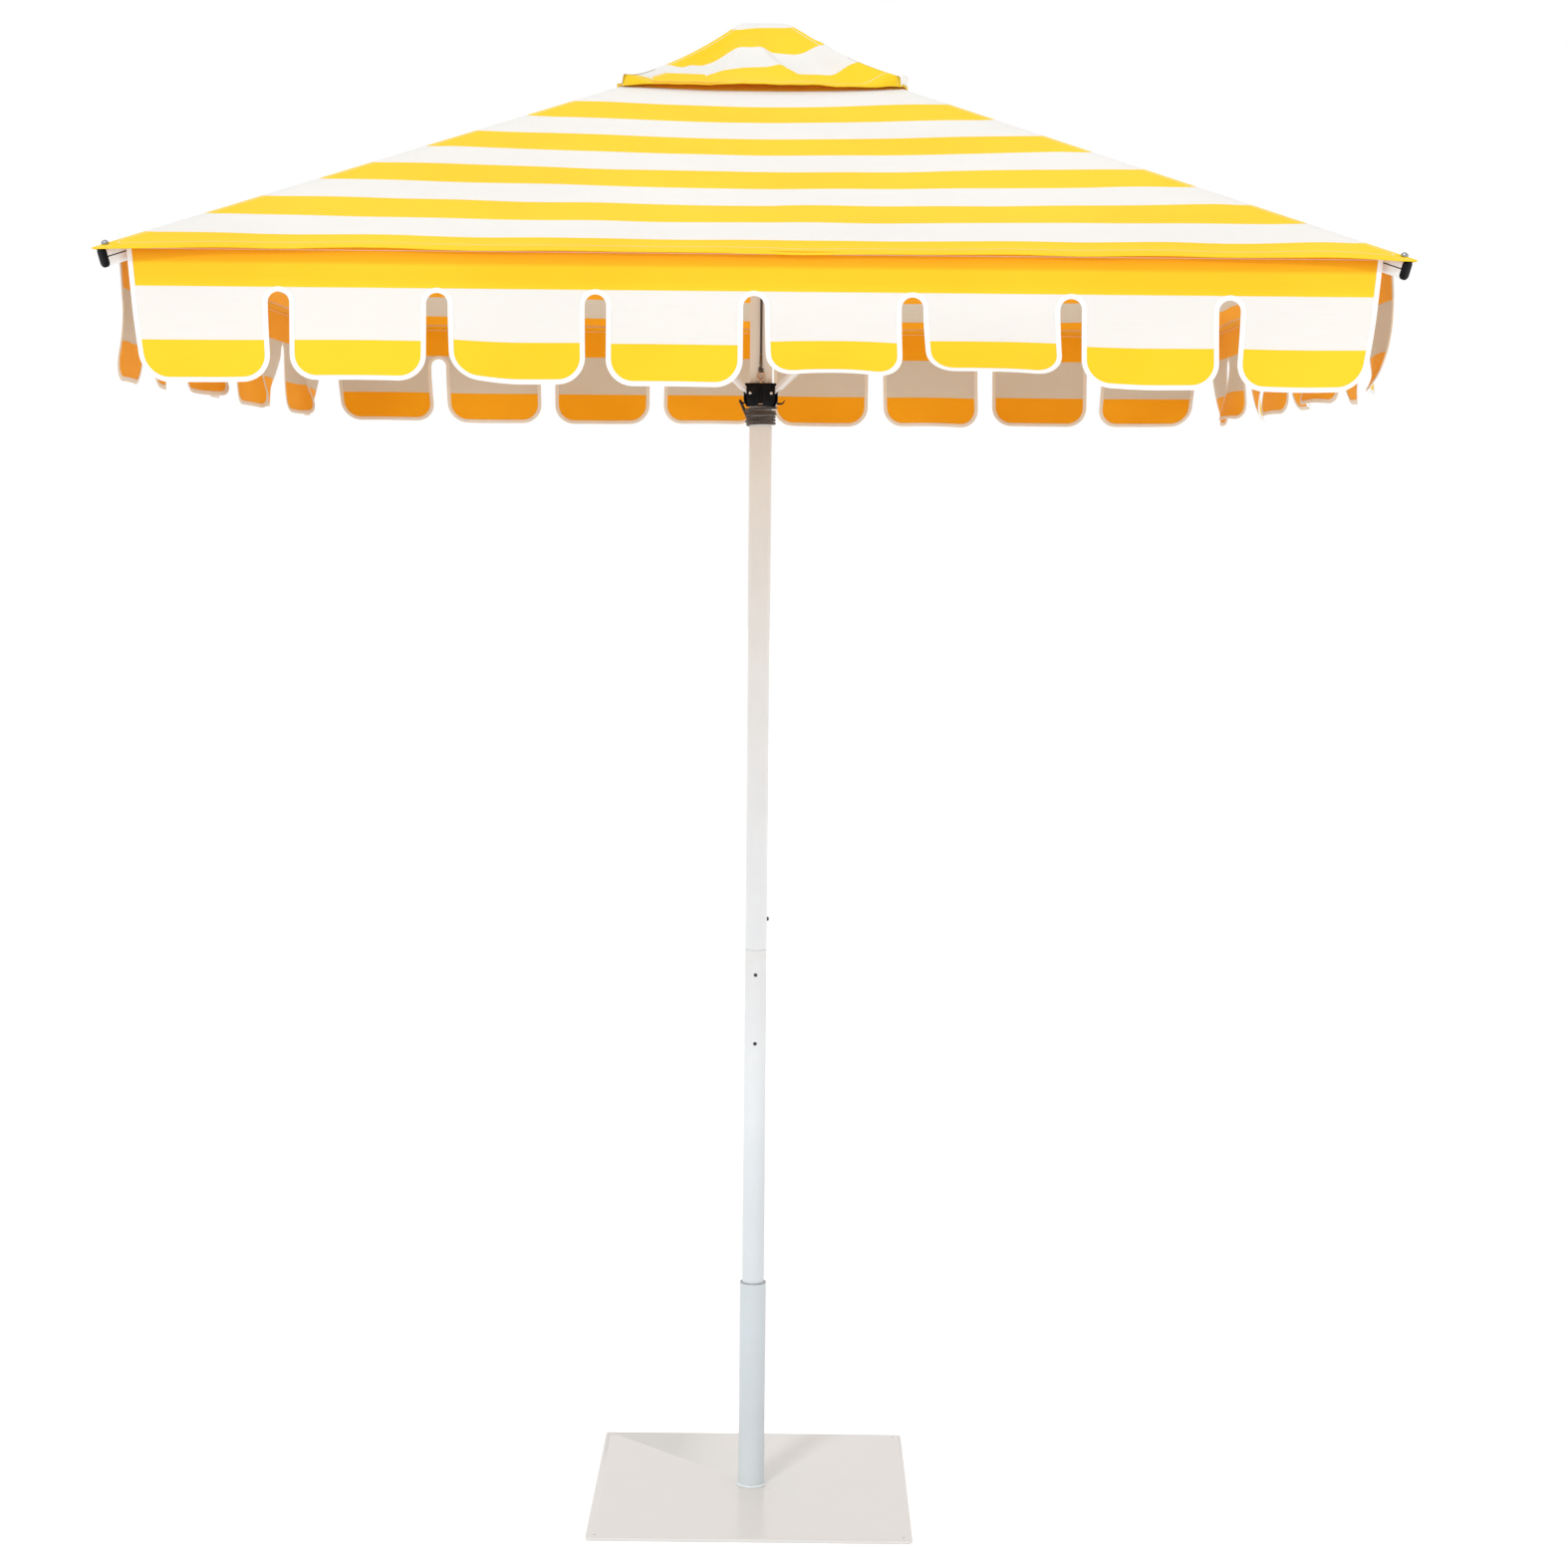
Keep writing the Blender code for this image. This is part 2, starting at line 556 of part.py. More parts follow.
def make_canopy_quarter(corner, angle, yellow):
    stations = [(CANOPY_HOLE, panel_z(CANOPY_HOLE), CANOPY_HOLE), (RIM, panel_z(RIM), TIP)]
    columns = quarter(stations, SEAM)
    columns[1][-1] = (TIP, -TIP, panel_z(TIP))   # the ridge runs on past the rim to its tip
    canopy = solid(f"canopy_quarter_{corner}", rotated(sheet(columns, FABRIC), angle + 45.0), yellow)
    hole = rod((0, 0, -0.01), (0, 0, 0.01), 0.0021, 12)
    reach = RIB_ROOT + SCREW_AT * cos(SLOPE) + RIB_DROP * sin(SLOPE)
    lift = RIB_ROOT_Z - SCREW_AT * sin(SLOPE) + RIB_DROP * cos(SLOPE)
    turn = Matrix.Rotation(radians(angle), 4, "Z")
    place = turn @ Matrix.Translation((reach, 0, lift)) @ Matrix.Rotation(SLOPE, 4, "Y")
    bmesh.ops.transform(hole, matrix=place, verts=hole.verts)
    cut(canopy, hole)


def make_vent_quarter(corner, angle, yellow):
    rise = (VENT_TOP - VENT_EDGE_Z) / (VENT_EDGE - VENT_FLAT)
    stations = [(m, VENT_EDGE_Z + rise * (VENT_EDGE - m), m) for m in (VENT_FLAT, VENT_EDGE)]
    middle = [(SEAM, VENT_TOP, SEAM)]
    bm = sheet(quarter(middle + stations, SEAM), FABRIC)
    bmesh.ops.remove_doubles(bm, verts=bm.verts, dist=1e-6)
    solid(f"vent_quarter_{corner}", rotated(bm, angle + 45.0), yellow)


def valance_outline():
    """Half a side's valance, from the middle notch to the corner end, as (along, z) points."""
    outline = [(SEAM, VALANCE_TOP), (SEAM, NOTCH_TOP)]
    notch = TAB_GAP / 2
    for tab in range(TABS_PER_HALF):
        start = notch + tab * (TAB_WIDTH + TAB_GAP)
        end = start + TAB_WIDTH
        outline += arc((start - notch, NOTCH_TOP - notch), notch, 60, 0, 2)
        outline += arc((start + TAB_CORNER, VALANCE_BOTTOM + TAB_CORNER), TAB_CORNER, 180, 270, 4)
        outline += arc((end - TAB_CORNER, VALANCE_BOTTOM + TAB_CORNER), TAB_CORNER, 270, 360, 4)
        if tab < TABS_PER_HALF - 1:
            outline += arc((end + notch, NOTCH_TOP - notch), notch, 180, 90, 3)
    return outline + [(VALANCE_END, VALANCE_TOP)]


def make_valance(corner, angle, yellow):
    """The two hanging strips that meet at one corner."""
    side = solid(f"valance_{corner}_a", prism(valance_outline(), -VALANCE_AT, FABRIC - VALANCE_AT, "Y"), yellow)
    side.rotation_euler.z = radians(angle + 45.0)
    mirror = [(-x, z) for x, z in valance_outline()]
    other = solid(f"valance_{corner}_b", prism(mirror, -VALANCE_AT, FABRIC - VALANCE_AT, "Y"), yellow)
    other.rotation_euler.z = radians(angle + 135.0)


def build():
    for old in list(bpy.data.objects):
        bpy.data.objects.remove(old)
    white = material("white_coated_metal", (0.85, 0.86, 0.86), 0.35)
    grey = material("grey_coated_metal", (0.62, 0.66, 0.70), 0.40)
    black = material("black_plastic", (0.02, 0.02, 0.02), 0.45)
    steel = material("steel", (0.60, 0.60, 0.60), 0.30, 1.0)
    brass = material("brass", (0.70, 0.50, 0.30), 0.35, 1.0)
    cord = material("grey_rope", (0.10, 0.08, 0.07), 0.90)
    yellow = material("yellow_fabric", (1.00, 0.62, 0.05), 0.85)
    make_base(white, grey, black)
    make_lower_pole(white, black, steel)
    make_snap_button(black, steel)
    make_upper_pole(white)
    make_crown(black, steel)
    make_pulley(black, steel)
    make_runner(black, brass)
    make_rope(cord)
    for corner, angle in CORNERS.items():
        frame = rib_frame(corner, angle)
        make_rib(corner, frame, white, black, steel)
        make_bracket(corner, frame, black)
        make_strut(corner, angle, white)
        make_canopy_quarter(corner, angle, yellow)
        make_vent_quarter(corner, angle, yellow)
        make_valance(corner, angle, yellow)


build()
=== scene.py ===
"""Looks for the square beach umbrella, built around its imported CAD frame. Metres, with Z up."""
from math import atan2, ceil, cos, hypot, pi, radians, sin, sqrt

import bmesh
import bpy
from mathutils import Matrix, Vector, noise


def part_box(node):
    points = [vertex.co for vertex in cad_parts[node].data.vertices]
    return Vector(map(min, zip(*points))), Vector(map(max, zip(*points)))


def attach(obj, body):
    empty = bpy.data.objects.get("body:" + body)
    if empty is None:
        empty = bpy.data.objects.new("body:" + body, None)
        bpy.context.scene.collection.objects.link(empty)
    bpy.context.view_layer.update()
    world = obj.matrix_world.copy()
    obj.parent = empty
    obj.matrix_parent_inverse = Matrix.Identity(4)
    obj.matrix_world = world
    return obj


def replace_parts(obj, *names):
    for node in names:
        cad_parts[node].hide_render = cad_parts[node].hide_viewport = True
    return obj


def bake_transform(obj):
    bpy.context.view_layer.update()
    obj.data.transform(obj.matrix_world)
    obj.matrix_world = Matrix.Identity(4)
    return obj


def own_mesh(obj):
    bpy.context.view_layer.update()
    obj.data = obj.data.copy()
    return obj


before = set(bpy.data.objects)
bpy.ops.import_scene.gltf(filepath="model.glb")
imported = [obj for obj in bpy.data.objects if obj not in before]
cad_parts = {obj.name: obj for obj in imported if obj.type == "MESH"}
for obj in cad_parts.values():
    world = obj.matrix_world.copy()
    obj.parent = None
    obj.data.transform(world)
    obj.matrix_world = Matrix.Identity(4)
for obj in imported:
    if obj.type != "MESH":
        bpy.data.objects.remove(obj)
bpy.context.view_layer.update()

# ---------------------------------------------------------------- sizes, in metres
APEX_Z = 2.739                  # where the four panels' planes meet
PITCH = 0.472                   # a panel's fall for each metre out from the pole
TIP = 1.000                     # the canopy's corners, measured level from the pole
RIM = 0.984                     # the middle of its sides
CANOPY_HOLE = 0.130
STRIPE = 0.0762                 # a stripe's width, measured level
STRIPE_EDGE = 0.9345            # outer edge of the outermost white stripe
CLOTH = 0.0007
HEM = 0.018
RIDGE_LEAN = 0.72               # distance to a ridge over the cloth, for each metre level across the panel
CANOPY_COLUMNS, CANOPY_ROWS = 44, 70
VENT_COLUMNS, VENT_ROWS = 32, 40

VENT_EDGE = 0.260
VENT_HEM = HEM * 0.8
VENT_STRIPE = 0.0688
VENT_STRIPE_EDGE = 0.194

VALANCE_AT = -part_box("valance_front_right_a")[0].y - 0.0008
VALANCE_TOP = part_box("valance_front_right_a")[1].z
VALANCE_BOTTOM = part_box("valance_front_right_a")[0].z
VALANCE_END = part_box("valance_front_right_a")[1].x
VALANCE_STRIPE = 0.081
VALANCE_STRIPE_EDGE = 2.213
TAB_WIDTH = 0.207
TAB_GAP = 0.034
TAB_CORNER = 0.042
NOTCH_TOP = 2.207
NOTCH = TAB_GAP / 2             # radius of the notch between two tabs
ARCH = NOTCH_TOP - NOTCH        # where its round top begins
BINDING = 0.0070

POLE_RADIUS = 0.021
POLE_WALL = 0.0015
TUBE_RADIUS = 0.025
RIB_ROOT = 0.060
RIB_DROP = 0.018                # from the top cloth down to a rib's middle line
RIB_START, RIB_END = 0.030, 1.4037              # along a rib from its pin
SCREW_AT = 1.398                # along a rib from its pin to its corner screw
SLOPE = atan2(PITCH, sqrt(2))
RIB_ROOT_Z = APEX_Z - RIB_ROOT * PITCH / sqrt(2) - RIB_DROP / cos(SLOPE)
ROPE_RADIUS = 0.00225

CORNERS = {"front_right": -45.0, "back_right": 45.0, "back_left": 135.0, "front_left": -135.0}
SIDES = {"front": 0.0, "right": 90.0, "back": 180.0, "left": 270.0}
# The corner at a side's right end and at its left end, seen from outside.
ENDS = {"front": ("front_right", "front_left"), "right": ("back_right", "front_right"),
        "back": ("back_left", "back_right"), "left": ("front_left", "back_left")}


def halves():
    """Each half of each side: the side's number, name and turn, the half's hand (1 for the right one), its
    corner and its own name."""
    for number, (side, turn) in enumerate(SIDES.items()):
        for hand, corner in zip((1, -1), ENDS[side]):
            yield number, side, turn, hand, corner, f"{side}_{'right' if hand > 0 else 'left'}"


def shown(name, data):
    made = bpy.data.objects.new(name, data)
    bpy.context.scene.collection.objects.link(made)
    return made


# ---------------------------------------------------------------- camera, stage and light
LENS = 65.21                    # millimetres, for a sensor 36 mm wide
CAMERA_AT = (0.0642, -5.3443, 1.8842)
CAMERA_DIP = 5.523              # degrees below level
CAMERA_TURN, CAMERA_ROLL = 0.0026, 0.0099       # radians
FLOOR_GAP = 0.0005              # the floor lies this far under the plate
SUN_AT = Vector((-2.0, -4.5, 5.5))


def make_camera():
    """The photo's viewpoint, solved from the object's corners in it."""
    data = bpy.data.cameras.new("camera")
    data.sensor_width = 36.0
    data.lens = LENS
    camera = shown("camera", data)
    tilt = Matrix.Rotation(radians(90.0 - CAMERA_DIP), 4, "X")
    camera.matrix_world = (Matrix.Translation(CAMERA_AT) @ Matrix.Rotation(CAMERA_TURN, 4, "Z") @ tilt
                           @ Matrix.Rotation(CAMERA_ROLL, 4, "Z"))
    bpy.context.scene.camera = camera


def make_stage():
    world = bpy.data.worlds.new("studio")
    bpy.context.scene.world = world
    world.use_nodes = True
    fix(world.node_tree.nodes["Background"], Color=(1.0, 1.0, 1.0, 1.0), Strength=1.0)
    floor_bm = bmesh.new()
    bmesh.ops.create_grid(floor_bm, x_segments=1, y_segments=1, size=40.0)
    white = plain("floor_white", (0.90, 0.90, 0.90), 0.7)
    fix(white.node_tree.nodes["Principled BSDF"], Emission_Color=(1.0, 1.0, 1.0, 1.0), Emission_Strength=0.22)
    floor = piece("studio_floor", floor_bm, white)
    floor.location.z = -FLOOR_GAP
    data = bpy.data.lights.new("key", "SUN")
    data.energy = 1.05
    data.angle = radians(8.0)
    sun = shown("key", data)
    sun.location = SUN_AT
    sun.rotation_euler = (-SUN_AT).to_track_quat("-Z", "Y").to_euler()


# ---------------------------------------------------------------- materials
def blank(name):
    made = bpy.data.materials.new(name)
    made.use_nodes = True
    return made, made.node_tree, made.node_tree.nodes["Principled BSDF"]


def add(tree, kind, **settings):
    node = tree.nodes.new(kind)
    for key, value in settings.items():
        setattr(node, key, value)
    return node


def feed(tree, socket, value):
    if hasattr(value, "is_output"):
        tree.links.new(value, socket)
    else:
        socket.default_value = value


def fix(node, **values):
    """Sets or links sockets by name, an underscore standing for a space."""
    for name, value in values.items():
        feed(node.id_data, node.inputs[name.replace("_", " ")], value)


def math(tree, operation, a, b=0.0, c=0.0):
    node = add(tree, "ShaderNodeMath", operation=operation)
    for socket, value in zip(node.inputs, (a, b, c)):
        feed(tree, socket, value)
    return node.outputs[0]


def parts_of(tree, vector):
    split = add(tree, "ShaderNodeSeparateXYZ")
    feed(tree, split.inputs[0], vector)
    return split.outputs


def mapped(tree, name):
    return add(tree, "ShaderNodeUVMap", uv_map=name).outputs[0]


def mix_colour(tree, factor, first, second, blend="MIX"):
    node = add(tree, "ShaderNodeMix", data_type="RGBA", blend_type=blend)
    feed(tree, node.inputs[0], factor)
    for socket, value in ((node.inputs[6], first), (node.inputs[7], second)):
        feed(tree, socket, (*value, 1.0) if isinstance(value, tuple) else value)
    return node.outputs[2]


def noise_of(tree, vector, scale, detail=4.0, roughness=0.5, stretch=(1, 1, 1)):
    mapping = add(tree, "ShaderNodeMapping")
    fix(mapping, Scale=stretch, Vector=vector)
    node = add(tree, "ShaderNodeTexNoise")
    fix(node, Scale=scale, Detail=detail, Roughness=roughness, Vector=mapping.outputs[0])
    return node.outputs["Fac"]


def ramp(tree, value, low, high, out_low=0.0, out_high=1.0):
    node = add(tree, "ShaderNodeMapRange")
    fix(node, From_Min=low, From_Max=high, To_Min=out_low, To_Max=out_high, Value=value)
    return node.outputs[0]


def bump(tree, height, strength, distance, under=None):
    node = add(tree, "ShaderNodeBump")
    fix(node, Strength=strength, Distance=distance, Height=height)
    if under is not None:
        fix(node, Normal=under)
    return node.outputs[0]


def object_point(tree):
    return add(tree, "ShaderNodeTexCoord").outputs["Object"]


def stitches(tree, across, along, seat, half):
    """A dashed line of thread, seat metres from the edge: where it is, and where its seam is."""
    offset = math(tree, "ABSOLUTE", math(tree, "SUBTRACT", across, seat))
    line = math(tree, "LESS_THAN", offset, half)
    dash = math(tree, "LESS_THAN", math(tree, "FRACT", math(tree, "MULTIPLY", along, STITCHES)), STITCH_SHARE)
    return math(tree, "MULTIPLY", line, dash), line


def let_light_through(tree, shader, colour, share, normal=None):
    glow = add(tree, "ShaderNodeBsdfTranslucent")
    fix(glow, Color=colour)
    if normal is not None:
        fix(glow, Normal=normal)
    blend = add(tree, "ShaderNodeMixShader")
    blend.inputs[0].default_value = share
    tree.links.new(shader.outputs[0], blend.inputs[1])
    tree.links.new(glow.outputs[0], blend.inputs[2])
    tree.links.new(blend.outputs[0], tree.nodes["Material Output"].inputs["Surface"])


def plain(name, colour, roughness):
    made, _, shader = blank(name)
    fix(shader, Base_Color=(*colour, 1.0), Roughness=roughness)
    return made


def coated(name, colour, roughness, grain=0.25, coat=0.0, grime=0.04, wear=0.05):
    """Powder-coated metal: fine orange peel, faint mottling and a little dust in the roughness."""
    made, tree, shader = blank(name)
    point = object_point(tree)
    mottle = ramp(tree, noise_of(tree, point, 9.0, 5.0), 0.35, 0.65)
    shade = tuple(c * (1.0 - grime) for c in colour)
    fix(shader, Base_Color=mix_colour(tree, mottle, colour, shade))
    rough = noise_of(tree, point, 40.0, 3.0)
    low, high = roughness - wear * 0.8, roughness + wear * 1.2
    peel = noise_of(tree, point, 900.0, 2.0)
    fix(shader, Roughness=ramp(tree, rough, 0.3, 0.7, low, high), Normal=bump(tree, peel, grain, 0.0002),
        Specular_IOR_Level=0.4, Coat_Weight=coat, Coat_Roughness=0.12)
    return made


def moulded(name, colour, roughness):
    """Moulded plastic with a fine spark-eroded grain and a cloudy tone."""
    made, tree, shader = blank(name)
    point = object_point(tree)
    cloud = ramp(tree, noise_of(tree, point, 60.0, 4.0), 0.3, 0.7)
    lighter = tuple(min(1.0, c * 1.8 + 0.004) for c in colour)
    fix(shader, Base_Color=mix_colour(tree, cloud, colour, lighter))
    fix(shader, Roughness=ramp(tree, cloud, 0.0, 1.0, roughness - 0.05, roughness + 0.08))
    grain = noise_of(tree, point, 2200.0, 2.0)
    fix(shader, Normal=bump(tree, grain, 0.3, 0.0001), Specular_IOR_Level=0.07)
    return made


def metal(name, colour, roughness, brushed=(1, 1, 1)):
    made, tree, shader = blank(name)
    point = object_point(tree)
    streak = noise_of(tree, point, 300.0, 3.0, 0.6, brushed)
    darker = tuple(c * 0.82 for c in colour)
    fix(shader, Base_Color=mix_colour(tree, ramp(tree, streak, 0.35, 0.65), colour, darker))
    fix(shader, Roughness=ramp(tree, streak, 0.3, 0.7, roughness - 0.03, roughness + 0.07))
    fix(shader, Normal=bump(tree, streak, 0.08, 0.0001), Metallic=1.0)
    return made


def painted_height_light(material, low, high, tint):
    """Paints light and shade on a coat: tints its colour gradually between two heights."""
    tree = material.node_tree
    socket = tree.nodes["Principled BSDF"].inputs["Base Color"]
    share = ramp(tree, parts_of(tree, object_point(tree))[2], low, high)
    feed(tree, socket, mix_colour(tree, share, socket.links[0].from_socket, tint, "MULTIPLY"))
    return material


# Colours of the cloth: each yellow and each orange drifts slowly into its deeper one. The oranges and the tan
# are the underside's painted light: the yellow and white stripes coloured as they look with light coming
# through the cloth, and in shade. THROUGH is what light that comes through the white and the coloured stripes
# takes on.
YELLOW = (1.0, 0.765, 0.026)
YELLOW_DEEP = (1.0, 0.71, 0.018)
WHITE = (0.93, 0.93, 0.915)
THROUGH = ((0.80, 0.78, 0.75), (0.95, 0.46, 0.0))
PAINTED_BACKLIT_YELLOW = (0.93, 0.44, 0.0)
PAINTED_BACKLIT_YELLOW_DEEP = (0.88, 0.39, 0.0)
PAINTED_BACKLIT_WHITE = (0.70, 0.62, 0.50)
THROUGH_INSIDE = ((0.66, 0.57, 0.45), (0.92, 0.40, 0.0))
THREAD = 0.0009                 # weave's pitch
STITCHES = 280.0                # in a metre
STITCH_SHARE = 0.72             # of a stitch's length that shows as thread
STITCH_IN = 0.0045              # from the cloth's edge to its line of stitches
# The canopy's shadow on the valance: from and to, in metres below the valance's top, and the tint it ends in.
SHADE_BAND = ((0.004, 0.020, (0.96, 0.66, 0.28)), (0.021, 0.027, (1.0, 0.90, 0.8)),
              (0.045, 0.064, (1.0, 0.99, 0.98)))


def weave(tree, uv):
    """Height of a plain weave, about 0.9 mm between threads, with slubs."""
    parts = parts_of(tree, uv)
    waves = [math(tree, "SINE", math(tree, "MULTIPLY", part, 2 * pi / THREAD)) for part in parts[:2]]
    threads = math(tree, "MULTIPLY", *waves)
    slubs = noise_of(tree, uv, 60.0, 3.0, 0.6, (1, 18, 1))
    return math(tree, "MULTIPLY_ADD", threads, 0.35, slubs)


def canvas(name, yellows, white, through, hanging=False):
    """Woven canopy cloth. The stripe map holds (metres across, stripe number); seam holds (metres from the
    nearest stitched edge, metres along it)."""
    made, tree, shader = blank(name)
    stripe_map = mapped(tree, "stripe")
    point = object_point(tree)
    slow = ramp(tree, noise_of(tree, point, 3.0, 4.0), 0.35, 0.65)
    thread = ramp(tree, noise_of(tree, stripe_map, 220.0, 2.0, 0.6, (0.06, 1, 1)), 0.3, 0.7)
    yellow = mix_colour(tree, slow, *yellows)
    white = mix_colour(tree, slow, white, tuple(c * 0.97 for c in white))
    edge = math(tree, "FRACT", math(tree, "MULTIPLY", parts_of(tree, stripe_map)[1], 0.5))
    is_yellow = math(tree, "GREATER_THAN", edge, 0.5)
    front = mix_colour(tree, is_yellow, white, yellow)
    front = mix_colour(tree, math(tree, "MULTIPLY", thread, 0.10), front, (0.55, 0.45, 0.30), "MULTIPLY")
    seam = parts_of(tree, mapped(tree, "seam"))
    # On the valance, painted shadow of the canopy's rim: a deep orange band under its top edge, fading through
    # SHADE_BAND into the cloth's own colour.
    if hanging:
        painted_shadow_band = (0.91, 0.50, 0.06)
        for start, end, tint in SHADE_BAND:
            painted_shadow_band = mix_colour(tree, ramp(tree, seam[0], start, end), painted_shadow_band, tint)
        front = mix_colour(tree, 1.0, front, painted_shadow_band, "MULTIPLY")
    stitch, near = stitches(tree, seam[0], seam[1], STITCH_IN, 0.0005)
    front = mix_colour(tree, stitch, front, (0.86, 0.84, 0.78))
    fix(shader, Base_Color=front)
    fix(shader, Roughness=0.78, Specular_IOR_Level=0.3, Sheen_Weight=0.05, Sheen_Roughness=0.5)
    relief = bump(tree, weave(tree, stripe_map), 0.22, 0.0004)
    puckers = math(tree, "SUBTRACT", 1.0, math(tree, "MULTIPLY", near, 0.8))
    relief = bump(tree, puckers, 0.35, 0.0006, relief)
    relief = bump(tree, noise_of(tree, point, 7.0, 3.0, 0.45, (1, 1, 2.2)), 0.35, 0.006, relief)
    fix(shader, Normal=relief)
    let_light_through(tree, shader, mix_colour(tree, is_yellow, *through), 0.25, relief)
    return made


def tape(name, colour, shade):
    """Binding tape: fine ribs across it and a line of stitching."""
    made, tree, shader = blank(name)
    along, across = parts_of(tree, mapped(tree, "stripe"))[:2]
    ribs = math(tree, "SINE", math(tree, "MULTIPLY", along, 2 * pi / 0.0012))
    mottle = ramp(tree, noise_of(tree, object_point(tree), 30.0, 4.0), 0.3, 0.7)
    colour = mix_colour(tree, mottle, colour, shade)
    stitch = stitches(tree, across, along, 0.0030, 0.0004)[0]
    fix(shader, Base_Color=mix_colour(tree, stitch, colour, (0.80, 0.79, 0.75)))
    fix(shader, Roughness=0.75)
    relief = bump(tree, ribs, 0.15, 0.0003)
    fix(shader, Normal=bump(tree, math(tree, "SUBTRACT", 1.0, stitch), 0.4, 0.0004, relief))
    let_light_through(tree, shader, (0.70, 0.60, 0.45, 1.0), 0.15)
    return made


def braid(name, colour, light):
    """Braided rope: two crossing sets of strands, painted darker in the hollows between them and lighter on
    their crowns (painted shade and highlight), with the fibres' own tone. The stripe map holds (turns round,
    metres along).
    """
    made, tree, shader = blank(name)
    uv = mapped(tree, "stripe")
    parts = parts_of(tree, uv)
    lay = math(tree, "MULTIPLY", parts[1], 2 * pi / 0.0055)
    turn = math(tree, "MULTIPLY", parts[0], 2 * pi * 4)
    one = math(tree, "SINE", math(tree, "ADD", lay, turn))
    other = math(tree, "SINE", math(tree, "SUBTRACT", lay, turn))
    strands = math(tree, "MAXIMUM", one, other)
    fibre = noise_of(tree, uv, 400.0, 3.0, 0.6)
    height = math(tree, "MULTIPLY_ADD", fibre, 0.3, strands)
    # Painted shade in the hollows between strands and painted highlight on their crowns.
    tone = ramp(tree, height, -0.6, 1.2)
    fix(shader, Base_Color=mix_colour(tree, tone, colour, light), Roughness=0.85, Sheen_Weight=0.25,
        Normal=bump(tree, height, 0.9, 0.0006))
    return made


# ---------------------------------------------------------------- making pieces
def piece(name, bm, material, smooth=35.0, recalc=True):
    if recalc:
        bmesh.ops.recalc_face_normals(bm, faces=bm.faces)
    mesh = bpy.data.meshes.new(name)
    bm.to_mesh(mesh)
    bm.free()
    mesh.shade_smooth()
    mesh.set_sharp_from_angle(angle=radians(smooth))
    made = shown(name, mesh)
    mesh.materials.append(material)
    return made


def bevelled(made, width, segments=3, angle=30.0):
    modifier = made.modifiers.new("bevel", "BEVEL")
    modifier.width = width
    modifier.segments = segments
    modifier.limit_method = "ANGLE"
    modifier.angle_limit = radians(angle)
    modifier.harden_normals = True
    return made


def skin(bm, first, second):
    count = max(len(first), len(second))
    for k in range(count):
        corners = [first[k % len(first)], first[(k + 1) % len(first)]]
        corners += [second[(k + 1) % len(second)], second[k % len(second)]]
        corners = list(dict.fromkeys(corners))
        if len(corners) > 2:
            bm.faces.new(corners)


def lofted(loops, closed=False, bm=None):
    bm = bm or bmesh.new()
    rings = [[bm.verts.new(point) for point in loop] for loop in loops]
    pairs = list(zip(rings, rings[1:]))
    if closed:
        pairs.append((rings[-1], rings[0]))
    for first, second in pairs:
        skin(bm, first, second)
    if not closed:
        for ring in (rings[0], rings[-1]):
            if len(ring) > 2:
                bm.faces.new(ring)
    return bm


def circle(radius, z, sides):
    if radius == 0.0:
        return [(0.0, 0.0, z)]
    return [(radius * cos(2 * pi * k / sides), radius * sin(2 * pi * k / sides), z) for k in range(sides)]


def turned(profile, sides=96, ring=False, bm=None):
    return lofted([circle(radius, z, sides) for radius, z in profile], ring, bm)


def moved(bm, matrix):
    bmesh.ops.transform(bm, matrix=matrix, verts=bm.verts)
    return bm


def arc(centre, radius, start, end, steps):
    angles = [radians(start + (end - start) * k / steps) for k in range(steps + 1)]
    return [(centre[0] + radius * cos(a), centre[1] + radius * sin(a)) for a in angles]


def about_z(degrees):
    return Matrix.Rotation(radians(degrees), 4, "Z")


def outline_block(outline, low, high, bm=None):
    """A shape drawn in the XZ plane, carried from y = low to y = high."""
    return lofted([[(x, y, z) for x, z in outline] for y in (low, high)], bm=bm)


def apply_modifiers(made):
    graph = bpy.context.evaluated_depsgraph_get()
    mesh = bpy.data.meshes.new_from_object(made.evaluated_get(graph))
    made.modifiers.clear()
    made.data = mesh


def cut_from(made, cutters, sharp=35.0):
    """Cuts shapes out of a piece and finishes its edges."""
    total = bmesh.new()
    for bm in cutters:
        mesh = bpy.data.meshes.new("cutter")
        bm.to_mesh(mesh)
        bm.free()
        total.from_mesh(mesh)
        bpy.data.meshes.remove(mesh)
    tool = piece("cutter", total, made.data.materials[0])
    modifier = made.modifiers.new("cut", "BOOLEAN")
    modifier.object = tool
    apply_modifiers(made)
    bpy.data.objects.remove(tool)
    made.data.shade_smooth()
    made.data.set_sharp_from_angle(angle=radians(sharp))


# ---------------------------------------------------------------- base and poles
def soft_tube(inner, outer, bottom, top, lip):
    """Profile of a tube whose four end corners are rounded by lip."""
    profile = arc((inner + lip, bottom + lip), lip, 180, 270, 3)
    profile += arc((outer - lip, bottom + lip), lip, 270, 360, 3)
    profile += arc((outer - lip, top - lip), lip, 0, 90, 3)
    return profile + arc((inner + lip, top - lip), lip, 90, 180, 3)


